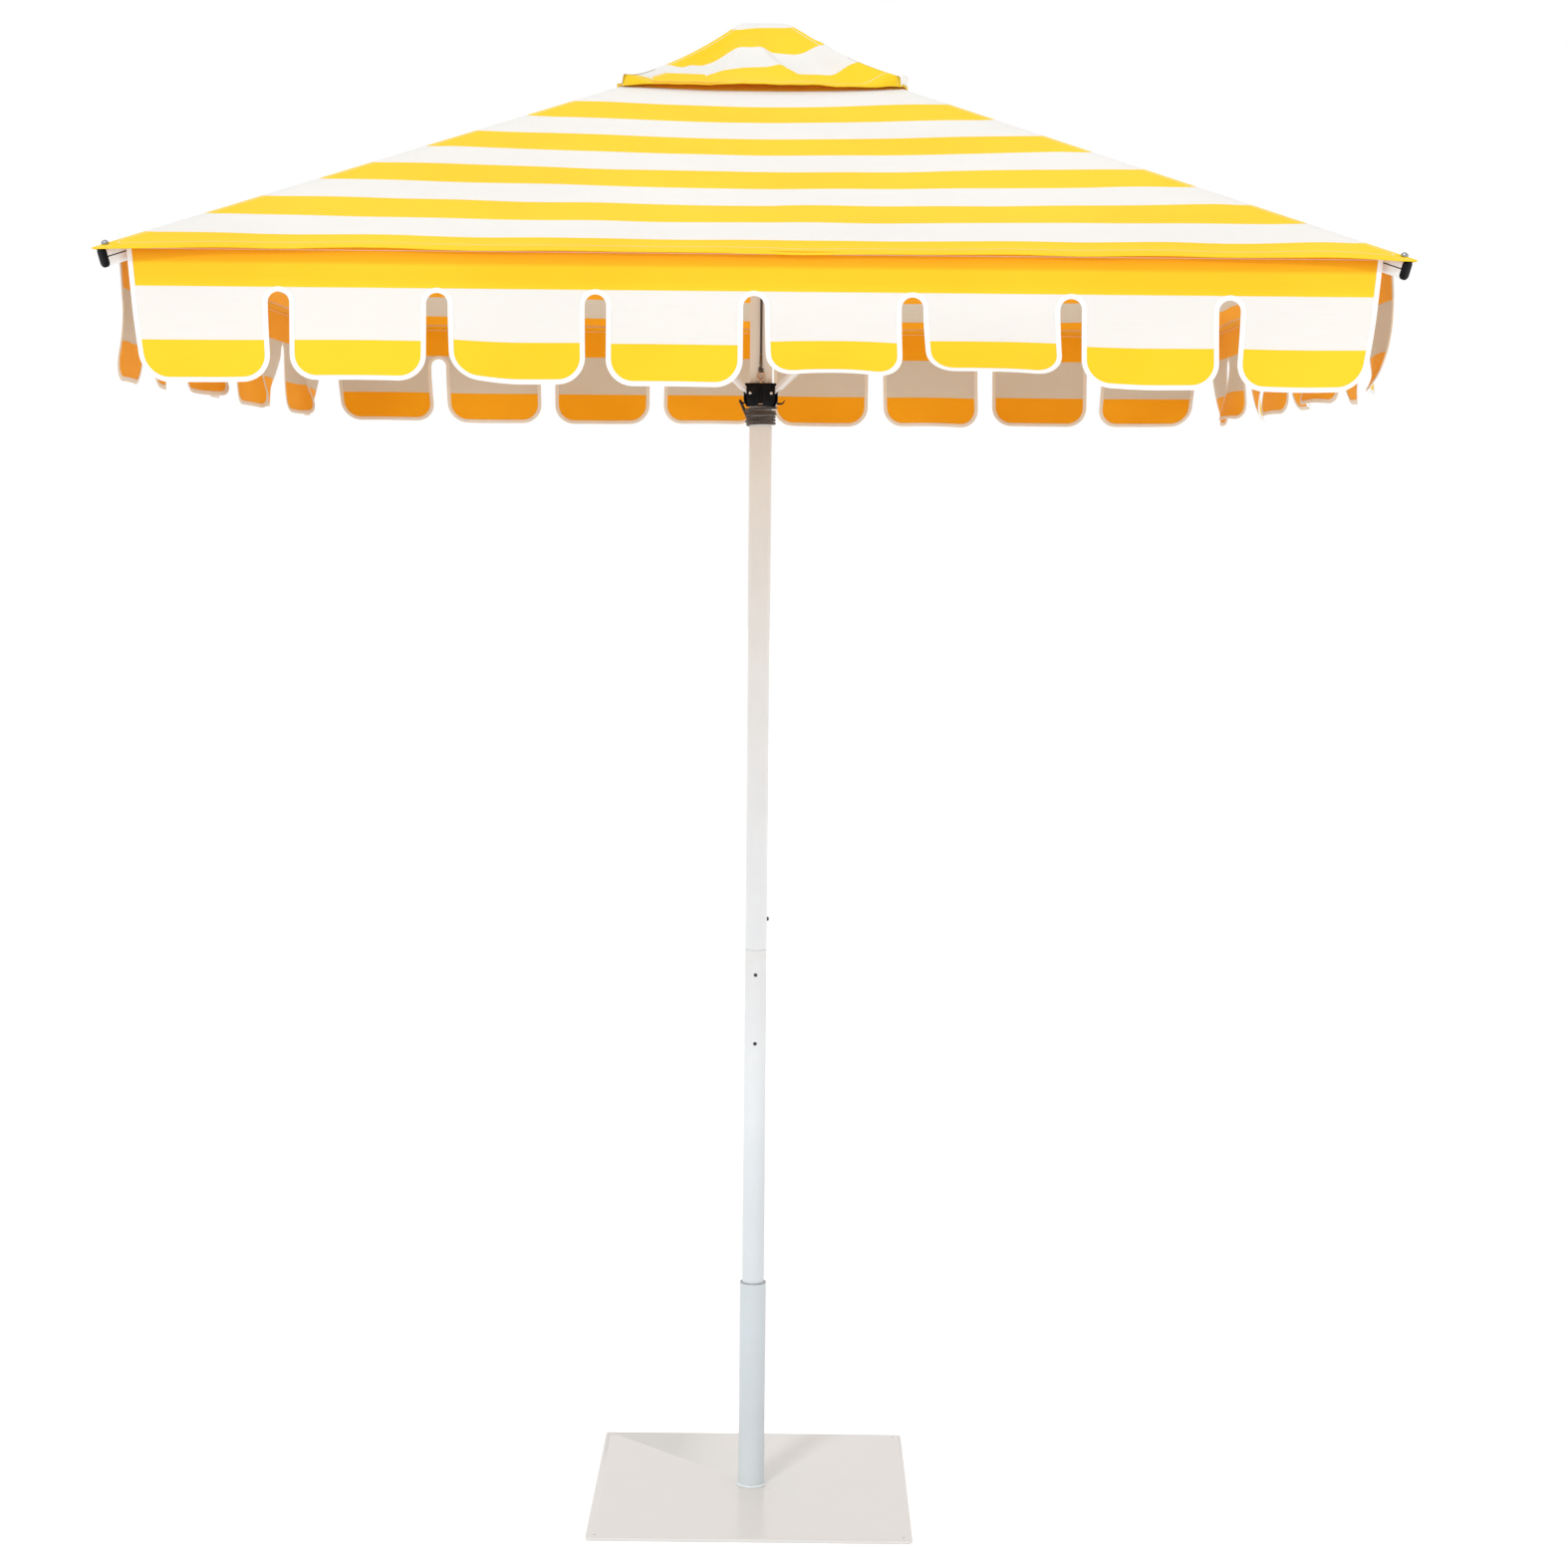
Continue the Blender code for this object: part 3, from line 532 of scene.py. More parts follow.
def make_base(white, grey, dark):
    low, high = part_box("base_plate")
    half = high.x
    radius, edge, inset = 0.008, 0.0012, 0.016
    loops = []
    for shrink, z in ((edge, low.z), (0.0, low.z + edge), (0.0, high.z - edge),
                      (edge * 0.3, high.z - edge * 0.3), (edge, high.z)):
        outline = []
        for sx, sy, start in ((1, 1, 0), (-1, 1, 90), (-1, -1, 180), (1, -1, 270)):
            centre = (sx * (half - radius), sy * (half - radius))
            outline += [(x, y, z) for x, y in arc(centre, radius - shrink, start, start + 90, 6)]
        loops.append(outline)
    plate = piece("plate", lofted(loops), white)
    spots = [(sx * (half - inset), sy * (half - inset), 0.0) for sx in (-1, 1) for sy in (-1, 1)]
    bore = [(0.0024, -0.01), (0.0024, 0.02)]
    cut_from(plate, [moved(turned(bore, 24), Matrix.Translation(spot)) for spot in spots], 30.0)
    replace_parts(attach(plate, "base"), "base_plate")

    low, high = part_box("base_tube")
    tube = piece("stand_tube", turned(soft_tube(TUBE_RADIUS - 0.002, TUBE_RADIUS, low.z, high.z, 0.0006),
                                      ring=True), grey)
    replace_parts(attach(tube, "base"), "base_tube")
    bead = [(TUBE_RADIUS + 0.0001, low.z + 0.0002), (TUBE_RADIUS + 0.0030, low.z + 0.0002),
            (TUBE_RADIUS + 0.0019, low.z + 0.0013), (TUBE_RADIUS + 0.0007, low.z + 0.0030),
            (TUBE_RADIUS + 0.0001, low.z + 0.0034)]
    weld = piece("stand_weld", turned(bead, ring=True), grey)
    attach(weld, "base")
    # The drain hole is a thin dark grey half-disc on the tube's face: painted shade standing for the hole.
    drain = arc((0, low.z), 0.004, 0, 180, 12)
    mark = outline_block(drain, -TUBE_RADIUS - 0.0002, -TUBE_RADIUS + 0.0016)
    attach(piece("drain_hole_painted_shade", mark, dark), "base")

    low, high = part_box("tube_bush")
    bush = piece("mouth_bush", turned([(POLE_RADIUS + 0.0003, high.z - 0.02), (0.0226, high.z - 0.02),
                                       (0.0226, high.z - 0.0016), (0.0246, high.z - 0.0014),
                                       (0.0244, high.z - 0.0002), (0.0220, high.z),
                                       (POLE_RADIUS + 0.0003, high.z - 0.0004)], ring=True), dark)
    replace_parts(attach(bush, "pole_bush"), "tube_bush")


def make_poles(coats):
    inner = POLE_RADIUS - POLE_WALL
    for name, node, body in (("pole_lower", "lower_pole", "lower_pole"),
                             ("pole_upper", "upper_pole", "upper_pole")):
        low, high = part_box(node)
        made = piece(name, turned(soft_tube(inner, POLE_RADIUS, low.z, high.z, 0.0005), ring=True),
                     coats[node])
        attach(made, body)
        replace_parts(made, node)


# ---------------------------------------------------------------- hardware carried over from CAD
def refined(node, body, material, width=0.0004, name=None, slot="black_plastic"):
    """A CAD piece's shape with its facets smoothed and its edges rounded."""
    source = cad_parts[node]
    bm = bmesh.new()
    bm.from_mesh(source.data)
    bmesh.ops.remove_doubles(bm, verts=bm.verts, dist=2e-6)
    bmesh.ops.dissolve_limit(bm, angle_limit=radians(1.0), verts=bm.verts, edges=bm.edges)
    made = piece(name or f"{node}_finished", bm, material, 40.0)
    if width:
        bevelled(made, width, 2, 40.0)
    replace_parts(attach(made, body), node)
    return made


def smooth_stadium(width, height, steps=12, groove=None):
    """An upright slot-shaped section; groove (half height, depth) notches both flanks."""
    radius = width / 2
    rise = height / 2 - radius
    outline = arc((0, rise), radius, 0, 180, steps)
    if groove:
        half, depth = groove
        outline += [(-radius, half), (-radius + depth, half), (-radius + depth, -half), (-radius, -half)]
    outline += arc((0, -rise), radius, 180, 360, steps)
    if groove:
        outline += [(radius, -half), (radius - depth, -half), (radius - depth, half), (radius, half)]
    return outline


def at(outline, x):
    return [(x, a, b) for a, b in outline]


def rib_place(angle):
    turn = about_z(angle)
    pin = turn @ Vector((RIB_ROOT, 0.0, RIB_ROOT_Z))
    return Matrix.Translation(pin) @ turn @ Matrix.Rotation(SLOPE, 4, "Y")


def make_ribs(white, dark, chrome, strut_white):
    section = smooth_stadium(0.015, 0.030, 12, (0.0009, 0.0015))
    wide, tall, cap_length, rounding = 0.0166, 0.0316, 0.008, 0.003
    cover, plug = smooth_stadium(wide, tall), smooth_stadium(0.0112, 0.0262)
    for corner, angle in CORNERS.items():
        place = rib_place(angle)
        start, end = RIB_START, RIB_END
        bm = lofted([at(section, start), at(section, end)])
        eye = arc((0, 0), 0.0055, 90, 270, 16) + [(start + 0.002, -0.0055), (start + 0.002, 0.0055)]
        outline_block(eye, -0.0026, 0.0026, bm)
        bm.normal_update()
        # Faces inside the side grooves take the black moulding: painted shade in the grooves.
        for face in bm.faces:
            middle = face.calc_center_median()
            face.material_index = int(abs(middle.z) < 0.001 and abs(abs(middle.y) - 0.0064) < 0.0009)
        rib = piece(f"rib_{corner}_extrusion", moved(bm, place), white)
        rib.data.materials.append(dark)
        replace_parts(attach(rib, f"rib_{corner}"), f"rib_{corner}")
        first = end + 0.0003
        last = first + cap_length
        loops = [at(plug, first - 0.012), at(plug, first), at(smooth_stadium(0.0158, 0.0308), first)]
        loops += [at(cover, first + 0.0008), at(cover, last - rounding)]
        for a in (30, 60, 90):
            shrink = rounding * (1 - cos(radians(a)))
            loops.append(at(smooth_stadium(wide - 2 * shrink, tall - 2 * shrink),
                            last - rounding + rounding * sin(radians(a))))
        cap = piece(f"cap_{corner}", moved(lofted(loops), place), dark)
        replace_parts(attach(cap, f"rib_{corner}"), f"rib_end_cap_{corner}")
        dome = [(0.0, -0.012), (0.0015, -0.012), (0.0015, 0.0), (0.0058, 0.0)]
        dome += [(0.0060 * cos(radians(a)), 0.0004 + 0.0056 * sin(radians(a))) for a in range(0, 90, 10)]
        dome.append((0.0, 0.0060))
        seat = place @ Matrix.Translation((SCREW_AT, 0, RIB_DROP + 0.0004))
        screw = piece(f"screw_{corner}", moved(turned(dome, 40), seat), chrome)
        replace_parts(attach(screw, f"rib_{corner}"), f"corner_screw_{corner}")
        refined(f"rib_bracket_{corner}", f"rib_{corner}", dark)
        refined(f"strut_{corner}", f"strut_{corner}", strut_white, 0.0003, slot="strut")


# ---------------------------------------------------------------- cloth
def quads(bm, rows, across, order=((0, 0), (1, 0), (1, 1), (0, 1))):
    """Fills a grid of corners, across faces wide and wrapping round, and yields each face with its corners."""
    for i in range(len(rows) - 1):
        for j in range(across):
            spots = [(i + a, j + b) for a, b in order]
            yield bm.faces.new([rows[a][b % len(rows[a])] for a, b in spots]), spots


def grid_piece(name, points, stripe, seam, material, inside_painted_light):
    """A cloth sheet through a grid of points, with its two maps, thickened to both sides."""
    bm = bmesh.new()
    stripe_layer = bm.loops.layers.uv.new("stripe")
    seam_layer = bm.loops.layers.uv.new("seam")
    verts = [[bm.verts.new(p) for p in row] for row in points]
    across = len(points[0]) - 1
    for face, spots in quads(bm, verts, across):
        face.material_index = int(spots[0][1] == across - 1)
        for loop, (a, b) in zip(face.loops, spots):
            loop[stripe_layer].uv = stripe[a][b]
            loop[seam_layer].uv = seam[a][b]
    return cloth_piece(name, bm, Vector((0.0, 0.0, 1.0)), material, inside_painted_light)


def cloth_piece(name, bm, outward, material, inside_painted_light):
    """Finishes a sheet whose outer side faces outward, and measures it before it is thickened."""
    bm.normal_update()
    if sum(face.normal.dot(outward) for face in bm.faces) < 0.0:
        bmesh.ops.reverse_faces(bm, faces=bm.faces)
    made = piece(name, bm, material, 60.0, recalc=False)
    area = sum(face.area for face in made.data.polygons)
    thicken(made, CLOTH, inside_painted_light)
    return made, area


def thicken(made, thickness, inside_painted_light=None):
    """Gives a sheet its two faces. inside_painted_light is the material of the face its normals point away
    from: the cloth's underside, in colours painted with the light that comes through it.
    """
    modifier = made.modifiers.new("cloth", "SOLIDIFY")
    modifier.thickness = thickness
    modifier.offset = 0.0
    if inside_painted_light:
        made.data.materials.append(inside_painted_light)
        modifier.material_offset = 1
    apply_modifiers(made)
    made.data.set_sharp_from_angle(angle=radians(50.0))


def ease(share):
    share = min(max(share, 0.0), 1.0)
    return share * share * (3.0 - 2.0 * share)


def ripple(x, y, scale, seed):
    return noise.noise(Vector((x / scale, y / scale, seed)))


def creases(x, m, seed):
    return 0.0016 * ripple(x, m, 0.16, seed) + 0.0010 * ripple(x, m * 3.0, 0.14, seed + 7.0)


def spread(count):
    """Stations from 0 to 1, closer together at both ends."""
    return [k / count - 0.1 * sin(2 * pi * k / count) for k in range(count + 1)]


def panel_point(t, m, side_number, hand):
    """A point on the front panel: t from its middle to its ridge, m metres out from the pole, level."""
    share = (m - CANOPY_HOLE) / (RIM - CANOPY_HOLE)
    share = min(max(share, 0.0), 1.0)
    middle = (1.0 - t * t) ** 2
    sag = 0.007 * middle * sin(pi * share) + 0.003 * middle
    calm = ease((1.0 - t) * m / 0.06)
    x = t * m
    wrinkle = creases(0.0, m, side_number)
    wrinkle += (creases(hand * x, m, side_number) - wrinkle) * ease(x / 0.05)
    pull = 0.0022 * (t ** 6) * sin(m * 60.0 + side_number) * share * (1.0 - share) * 2.0
    seam = 0.0006 * max(0.0, 1.0 - (1.0 - t) * m / 0.012)
    return x, APEX_Z - PITCH * m - sag + (wrinkle * (0.4 + share) + pull) * calm + seam


def seam_row(t, ms, edge, hem):
    """Metres from the nearest stitched edge, and along it, at each distance out from the pole."""
    row = []
    for m in ms:
        to_ridge = (1.0 - t) * m * RIDGE_LEAN
        to_rim = edge - hem - m + STITCH_IN
        row.append((to_ridge, m) if to_ridge < abs(to_rim) else (to_rim, t * m))
    return row


def half_side(name, columns, turn, hand, cloth, inside_painted_light):
    """Half of a side's cloth, from its columns of (points, stripe map, seam map), and its area."""
    points, stripe, seams = zip(*columns)
    made, area = grid_piece(name, points[::hand], stripe[::hand], seams[::hand], cloth, inside_painted_light)
    made.data.transform(about_z(turn))
    return made, area


def canopy_column(t, number, hand):
    rim = RIM + (TIP - RIM) * t ** 8
    ms = [CANOPY_HOLE + (rim - CANOPY_HOLE) * (j / CANOPY_ROWS) for j in range(CANOPY_ROWS + 1)]
    line = []
    for m in ms:
        x, z = panel_point(t, m, number * 2.0, hand)
        line.append((hand * x, -m, z))
    x, z = panel_point(t, rim, number * 2.0, hand)
    under = x * (rim - HEM) / rim
    line += [(hand * (x + 0.0006 * t), -rim - 0.0007, z - 0.0009), (hand * x, -rim, z - 0.0018),
             (hand * under, -(rim - HEM), z + PITCH * HEM - 0.0021)]
    ms += [rim, rim, rim - HEM]
    return line, [(t * m, (STRIPE_EDGE - m) / STRIPE) for m in ms], seam_row(t, ms, rim, HEM)


def make_canopy(cloth, inside_painted_light):
    for number, _, turn, hand, corner, tag in halves():
        columns = [canopy_column(t, number, hand) for t in spread(CANOPY_COLUMNS)]
        made, area = half_side(f"canopy_{tag}", columns, turn, hand, cloth, inside_painted_light)
        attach(made, f"rib_{corner}")
        ridge = Vector((hand, -1.0, -PITCH)).normalized()
        flat = Vector((0.0, -PITCH, 1.0)).normalized().cross(ridge)
        turned_axis = about_z(turn) @ flat
        anchor = about_z(turn) @ Vector((hand * 0.5, -0.5, APEX_Z - PITCH * 0.5))
        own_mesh(made)
        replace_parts(made, f"canopy_quarter_{corner}")


VENT_HEM_Z = 2.6245
VENT_SHOULDER = 0.046
VENT_SHOULDER_Z = 2.7655
VENT_TENT = 0.019               # how far a rib lifts the vent's corner above its hem
VENT_EASE = {"front_left": 1.75, "front_right": 1.15, "back_left": 1.45, "back_right": 1.35}
VENT_TWIST = -0.17              # how far the vent is turned, half-way down, about the pole
VENT_SKEW = {"front_left": 0.041, "front_right": 0.012, "back_left": 0.010, "back_right": -0.012}


def tented(t):
    return VENT_TENT * ease((t - 0.72) / 0.28)


def twisted(x, y, z):
    """A point of the vent, turned about the pole by its share of the twist."""
    m = max(abs(x), abs(y))
    share = min(max((m - VENT_SHOULDER) / (VENT_EDGE - VENT_SHOULDER), 0.0), 1.0)
    turn = VENT_TWIST * sin(pi * share) * (1.0 - share) ** 0.3
    return x * cos(turn) - y * sin(turn), x * sin(turn) + y * cos(turn), z


def front_folds(x, m):
    """The front panel's slant crease, its sagging right part and its smaller folds."""
    crease = 0.007 + 0.70 * (m - 0.122)
    folds = -0.012 * ease((x - crease) / 0.030) * (1.0 - ease((x - crease - 0.075) / 0.06))
    folds -= 0.005 * hump(x, -0.085, 0.035)
    folds += 0.003 * hump(x, 0.020 + 0.5 * (m - 0.122), 0.010)
    return folds + 0.002 * hump(x, -0.030 - 0.3 * (m - 0.122), 0.012)


def vent_height(t, m, side, hand):
    """Height of the vent: steep from the disc, then easing out to its hem, with soft folds between."""
    if m < VENT_SHOULDER:
        return VENT_SHOULDER_Z + 0.0062 * (1.0 - (m / VENT_SHOULDER) ** 2.5)
    share = min((m - VENT_SHOULDER) / (VENT_EDGE - VENT_SHOULDER), 1.0)
    corner = VENT_EASE[ENDS[side][0 if hand > 0 else 1]]
    power = 1.23 + (corner - 1.23) * ease(t)
    low = VENT_HEM_Z + tented(t)
    x = hand * t * m
    if side == "front":
        low += 0.005 * (1.0 - t * t)
        swell = front_folds(x, m)
    else:
        swell = 0.010 * ripple(x, 0.0, 0.08, 3.0 + len(side)) - 0.006 * (1.0 - t * t) ** 2 * sin(pi * share)
        if side == "right":
            swell += 0.024 * (1.0 - t * t) * sin(pi * share ** 0.8)
    z = VENT_SHOULDER_Z - (VENT_SHOULDER_Z - low) * (1.0 - (1.0 - share) ** power)
    calm = ease((1.0 - t) * m / 0.05) * ease(share / 0.4)
    return z + swell * calm * (1.0 - 0.8 * ease((share - 0.70) / 0.30))


def hump(x, centre, width):
    return 2.0 ** (-((x - centre) / width) ** 2)


def vent_column(t, number, side, hand, corner):
    edge = VENT_EDGE - 0.010 * t ** 6
    drop = tented(t)
    skew = VENT_SKEW[corner] * ease((t - 0.25) / 0.75)
    ms = [0.0004 + (edge - 0.0004) * (j / VENT_ROWS) for j in range(VENT_ROWS + 1)]
    line = []
    for m in ms:
        x = t * m
        calm = ease(t * m / 0.04) * ease((1.0 - t) * m / 0.04)
        fold = 0.0030 * ripple(x * 1.6 + number * hand, m, 0.07, number + 3.0 * hand) * calm
        line.append(twisted(hand * x, -m, vent_height(t, m, side, hand) + fold))
    z = line[-1][2]
    inner = edge - VENT_HEM
    line += [(hand * t * (edge + 0.0006), -edge - 0.0006, z - 0.0009 - drop * 0.5),
             (hand * t * edge, -edge, z - 0.0018 - drop),
             (hand * t * inner, -inner, z + 0.45 * HEM * 0.8 - 0.0021 - drop * 0.9)]
    ms += [edge, edge, inner]
    bands = [(VENT_STRIPE_EDGE - m + (skew - 0.010) * ease((m - 0.05) / 0.07)) / VENT_STRIPE for m in ms]
    return line, [(t * m, max(band, -0.97)) for m, band in zip(ms, bands)], seam_row(t, ms, edge, VENT_HEM)


def make_vent(cloth, inside_painted_light):
    for number, side, turn, hand, corner, tag in halves():
        columns = [vent_column(t, number, side, hand, corner) for t in spread(VENT_COLUMNS)]
        made, area = half_side(f"vent_{tag}", columns, turn, hand, cloth, inside_painted_light)
        out = about_z(CORNERS[corner]) @ Vector((1.0, 0.0, 0.0))
        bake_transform(made)
        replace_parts(made, f"vent_quarter_{corner}")


def make_vent_ties(cloth):
    """A pocket over each corner of the vent, turned down over the rib."""
    for corner, angle in CORNERS.items():
        out = about_z(angle) @ Vector((1.0, 0.0, 0.0))
        across = about_z(angle) @ Vector((0.0, 1.0, 0.0))
        bm = bmesh.new()
        layer = bm.loops.layers.uv.new("stripe")
        end = (VENT_EDGE - 0.0100) * sqrt(2)
        length = 0.105
        stations = [(end - length + length * k / 14, 0.0, 0.004 + 0.0006 * k) for k in range(15)]
        stations += [(end + 0.0009, 0.003 * k, 0.0110 - 0.0007 * k) for k in range(1, 7)]
        rows = []
        for reach, drop, half in stations:
            row = []
            for v in (-1.0, -0.66, -0.33, 0.0, 0.33, 0.66, 1.0):
                spot = out * reach + across * (v * half)
                m = max(abs(spot.x), abs(spot.y))
                t = min(abs(spot.x), abs(spot.y)) / m
                upright = "front" if spot.y < 0 else "back"
                side = upright if abs(spot.y) > abs(spot.x) else "right" if spot.x > 0 else "left"
                z = vent_height(t, min(m, VENT_EDGE - 0.001), side, 1 if ENDS[side][0] == corner else -1)
                row.append(bm.verts.new(twisted(spot.x, spot.y, z + 0.0018 - drop)))
            rows.append(row)
        for face, _ in quads(bm, rows, 6):
            for loop in face.loops:
                loop[layer].uv = (loop.vert.co.dot(across), loop.vert.co.dot(out))
        tie = piece(f"vent_tie_{corner}", bm, cloth, 60.0)
        thicken(tie, 0.0012)
        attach(tie, f"rib_{corner}")


# ---------------------------------------------------------------- valance
def tab_starts():
    return [NOTCH + k * (TAB_WIDTH + TAB_GAP) for k in range(4)]


# How each hanging tab sits, in millimetres, left to right seen from outside: swing outwards, lift, lean to
# the right, twist (right edge out), rise of the lower edge's middle, rise of its left end, and curl of both
# edges outwards.
TAB_POSES = {
    "front": ((4, 4, 6, 0, -2, -3, 4), (6, 5, 0, 4, 1, 0, -3), (-4, 4, 2, 14, -1, 12, 4),
              (2, 0, 0, -6, 1, 0, 3), (-18, 15, 4, 10, 7, 3, 8), (-32, 24, 10, -14, 4, 4, 10),
              (4, 4, 2, 8, -1, 5, -4), (6, 4, -8, -6, -2, 0, 4)),
    "right": ((-2, 4, 4, 30, 3, 4, 12), (12, 4, -4, 30, -3, 0, -12), (-10, 6, 0, -36, 3, -4, 14),
              (18, 8, 6, 20, 0, 5, -16), (-6, 3, -4, -24, 2, 0, 10), (14, 5, 0, 40, -3, 4, -14),
              (-16, 8, 4, -30, 3, 0, 12), (10, 5, -6, 24, 0, -3, 8)),
    "back": ((8, 4, 6, 12, 1, 4, 6), (-10, 4, 0, -14, 0, 0, -6), (6, 0, -4, 10, 2, -3, 4),
             (-4, 1, 0, -8, -1, 0, 5), (8, 2, 3, 12, 1, 0, -4), (-6, 0, 0, -10, 0, 2, 6),
             (10, 2, -4, 14, -1, 0, -5), (-12, 3, -10, -20, 1, 0, 8)),
    "left": ((10, 5, 6, -20, 2, 0, 8), (-18, 8, 0, 36, -2, 4, -14), (14, 6, -5, -44, 3, 0, 16),
             (-8, 4, 4, 30, 0, -4, -10), (16, 6, 0, -24, 2, 4, 12), (-20, 10, -4, 42, -3, 0, -16),
             (8, 4, 3, -28, 0, 3, 10), (10, 3, -4, -4, 2, 0, 8)),
}
END_SPREAD = {"front": 0.006, "right": 0.003, "back": 0.003, "left": 0.003}


def valance_place(side, hand, s, z, seed):
    """Where the point at s along and z up hangs, each tab swung, twisted and curled in its own way."""
    depth = max(0.0, (VALANCE_TOP - z) / (VALANCE_TOP - VALANCE_BOTTOM))
    out = 0.006 * ripple(s, 0.0, 0.13, seed) + 0.003 * ripple(s, z, 0.06, seed + 5.0)
    out *= depth ** 1.6 * min(1.0, s / 0.02 + 0.25)
    hung = max(0.0, (ARCH - z) / (ARCH - VALANCE_BOTTOM))
    tab = min(3, max(0, int(s / (TAB_WIDTH + TAB_GAP))))
    pose = TAB_POSES[side][4 + tab if hand > 0 else 3 - tab]
    swing, lift, lean, twist, rise, left_rise, curl = (value / 1000 for value in pose)
    centre = hand * (NOTCH + tab * (TAB_WIDTH + TAB_GAP) + TAB_WIDTH / 2)
    across = (hand * s - centre) / (TAB_WIDTH / 2)
    bend = hung ** 1.5
    out += bend * (swing + twist * across / 2 + curl * (across * across - 0.4))
    rise = lift + rise * (1.0 - across * across) * 1.5 + left_rise * max(0.0, -across) ** 1.5
    end = ease((s - 0.78) / (VALANCE_END - 0.78))
    x = hand * (s + END_SPREAD[side] * end * (1.0 - 3.0 * depth)) + lean * bend
    if (side, hand) == ("left", 1):
        out -= end * (0.007 + 0.004 * sin(pi * min(depth, 1.0)))
    if (side, hand) == ("right", -1):
        out += end * (0.008 * sin(pi * min(depth, 1.0)) - 0.010 * depth ** 2 - 0.007)
    return x, -VALANCE_AT - out, z + rise * bend


def lower_edge(s):
    """Height of the valance's lower edge at s, and whether s is on a tab."""
    for start in tab_starts():
        end = start + TAB_WIDTH
        if start - 1e-9 <= s <= end + 1e-9:
            inset = min(s - start, end - s)
            if inset >= TAB_CORNER:
                return VALANCE_BOTTOM, True
            rise = sqrt(max(0.0, TAB_CORNER ** 2 - (TAB_CORNER - inset) ** 2))
            return VALANCE_BOTTOM + TAB_CORNER - rise, True
    centre = min((c for c in [0.0] + [start + TAB_WIDTH + NOTCH for start in tab_starts()]),
                 key=lambda c: abs(c - s))
    return ARCH + sqrt(max(0.0, NOTCH ** 2 - (s - centre) ** 2)), False


def valance_columns():
    """Stations along the strip, closer together round the corners of the tabs and the notches."""
    stations = [NOTCH * sin(radians(a)) for a in range(0, 90, 15)]
    for k, start in enumerate(tab_starts()):
        corner = [TAB_CORNER * (1 - cos(radians(a))) for a in range(0, 91, 10)]
        stations += [start + c for c in corner]
        flat = TAB_WIDTH - 2 * TAB_CORNER
        stations += [start + TAB_CORNER + flat * j / 14 for j in range(1, 14)]
        stations += [start + TAB_WIDTH - c for c in reversed(corner)]
        if k < 3:
            middle = start + TAB_WIDTH + NOTCH
            stations += [middle + NOTCH * sin(radians(a)) for a in range(-75, 90, 15)]
    return stations


def make_strip(name, side, hand, seed, cloth, inside_painted_light):
    stations = valance_columns()
    bm = bmesh.new()
    stripe_layer = bm.loops.layers.uv.new("stripe")
    seam_layer = bm.loops.layers.uv.new("seam")
    upper_rows, lower_rows = 9, 15

    def vert(s, z):
        return bm.verts.new(valance_place(side, hand, s, z, seed)), (s, z)

    def quad(a, b, c, d):
        corners = [a, b, c, d]
        if len({tuple(v.co) for v, _ in corners}) < 4:
            return
        face = bm.faces.new([v for v, _ in corners])
        for loop, (_, (s, z)) in zip(face.loops, corners):
            loop[stripe_layer].uv = (s, (VALANCE_STRIPE_EDGE - z) / VALANCE_STRIPE)
            loop[seam_layer].uv = (VALANCE_TOP - z, s)

    uppers, lowers = [], []
    for s in stations:
        low, on_tab = lower_edge(s)
        base = ARCH if on_tab else low
        uppers.append([vert(s, base + (VALANCE_TOP - base) * j / upper_rows) for j in range(upper_rows + 1)])
        if on_tab:
            column = [uppers[-1][0]]
            column += [vert(s, ARCH + (low - ARCH) * j / lower_rows) for j in range(1, lower_rows + 1)]
            lowers.append(column)
        else:
            lowers.append(None)
    for k in range(len(stations) - 1):
        for a, b in zip(range(upper_rows), range(1, upper_rows + 1)):
            quad(uppers[k][a], uppers[k + 1][a], uppers[k + 1][b], uppers[k][b])
        if lowers[k] and lowers[k + 1]:
            for a, b in zip(range(lower_rows), range(1, lower_rows + 1)):
                quad(lowers[k][b], lowers[k + 1][b], lowers[k + 1][a], lowers[k][a])
    return cloth_piece(name, bm, Vector((0.0, -1.0, 0.0)), cloth, inside_painted_light)


def edge_path():
    """The strip's free edge from its middle notch to the top of its corner end, with inward normals."""
    path = [(NOTCH * sin(radians(a)), ARCH + NOTCH * cos(radians(a)),
             sin(radians(a)), cos(radians(a))) for a in range(0, 90, 12)]
    for k, start in enumerate(tab_starts()):
        end = start + TAB_WIDTH
        low = VALANCE_BOTTOM + TAB_CORNER
        path += [(start, ARCH + (low - ARCH) * j / 8, 1.0, 0.0) for j in range(8)]
        for a in range(180, 270, 9):
            path.append((start + TAB_CORNER * (1 + cos(radians(a))), low + TAB_CORNER * sin(radians(a)),
                         -cos(radians(a)), -sin(radians(a))))
        flat = TAB_WIDTH - 2 * TAB_CORNER
        path += [(start + TAB_CORNER + flat * j / 12, VALANCE_BOTTOM, 0.0, 1.0) for j in range(12)]
        for a in range(270, 360, 9):
            path.append((end - TAB_CORNER * (1 - cos(radians(a))), low + TAB_CORNER * sin(radians(a)),
                         -cos(radians(a)), -sin(radians(a))))
        top = ARCH if k < 3 else VALANCE_TOP - 0.001
        steps = 8 if k < 3 else 12
        path += [(end, low + (top - low) * j / steps, -1.0, 0.0) for j in range(steps + (k == 3))]
        if k < 3:
            middle = end + NOTCH
            for a in range(180, 0, -12):
                path.append((middle + NOTCH * cos(radians(a)), ARCH + NOTCH * sin(radians(a)),
                             cos(radians(a)), sin(radians(a))))
    return path


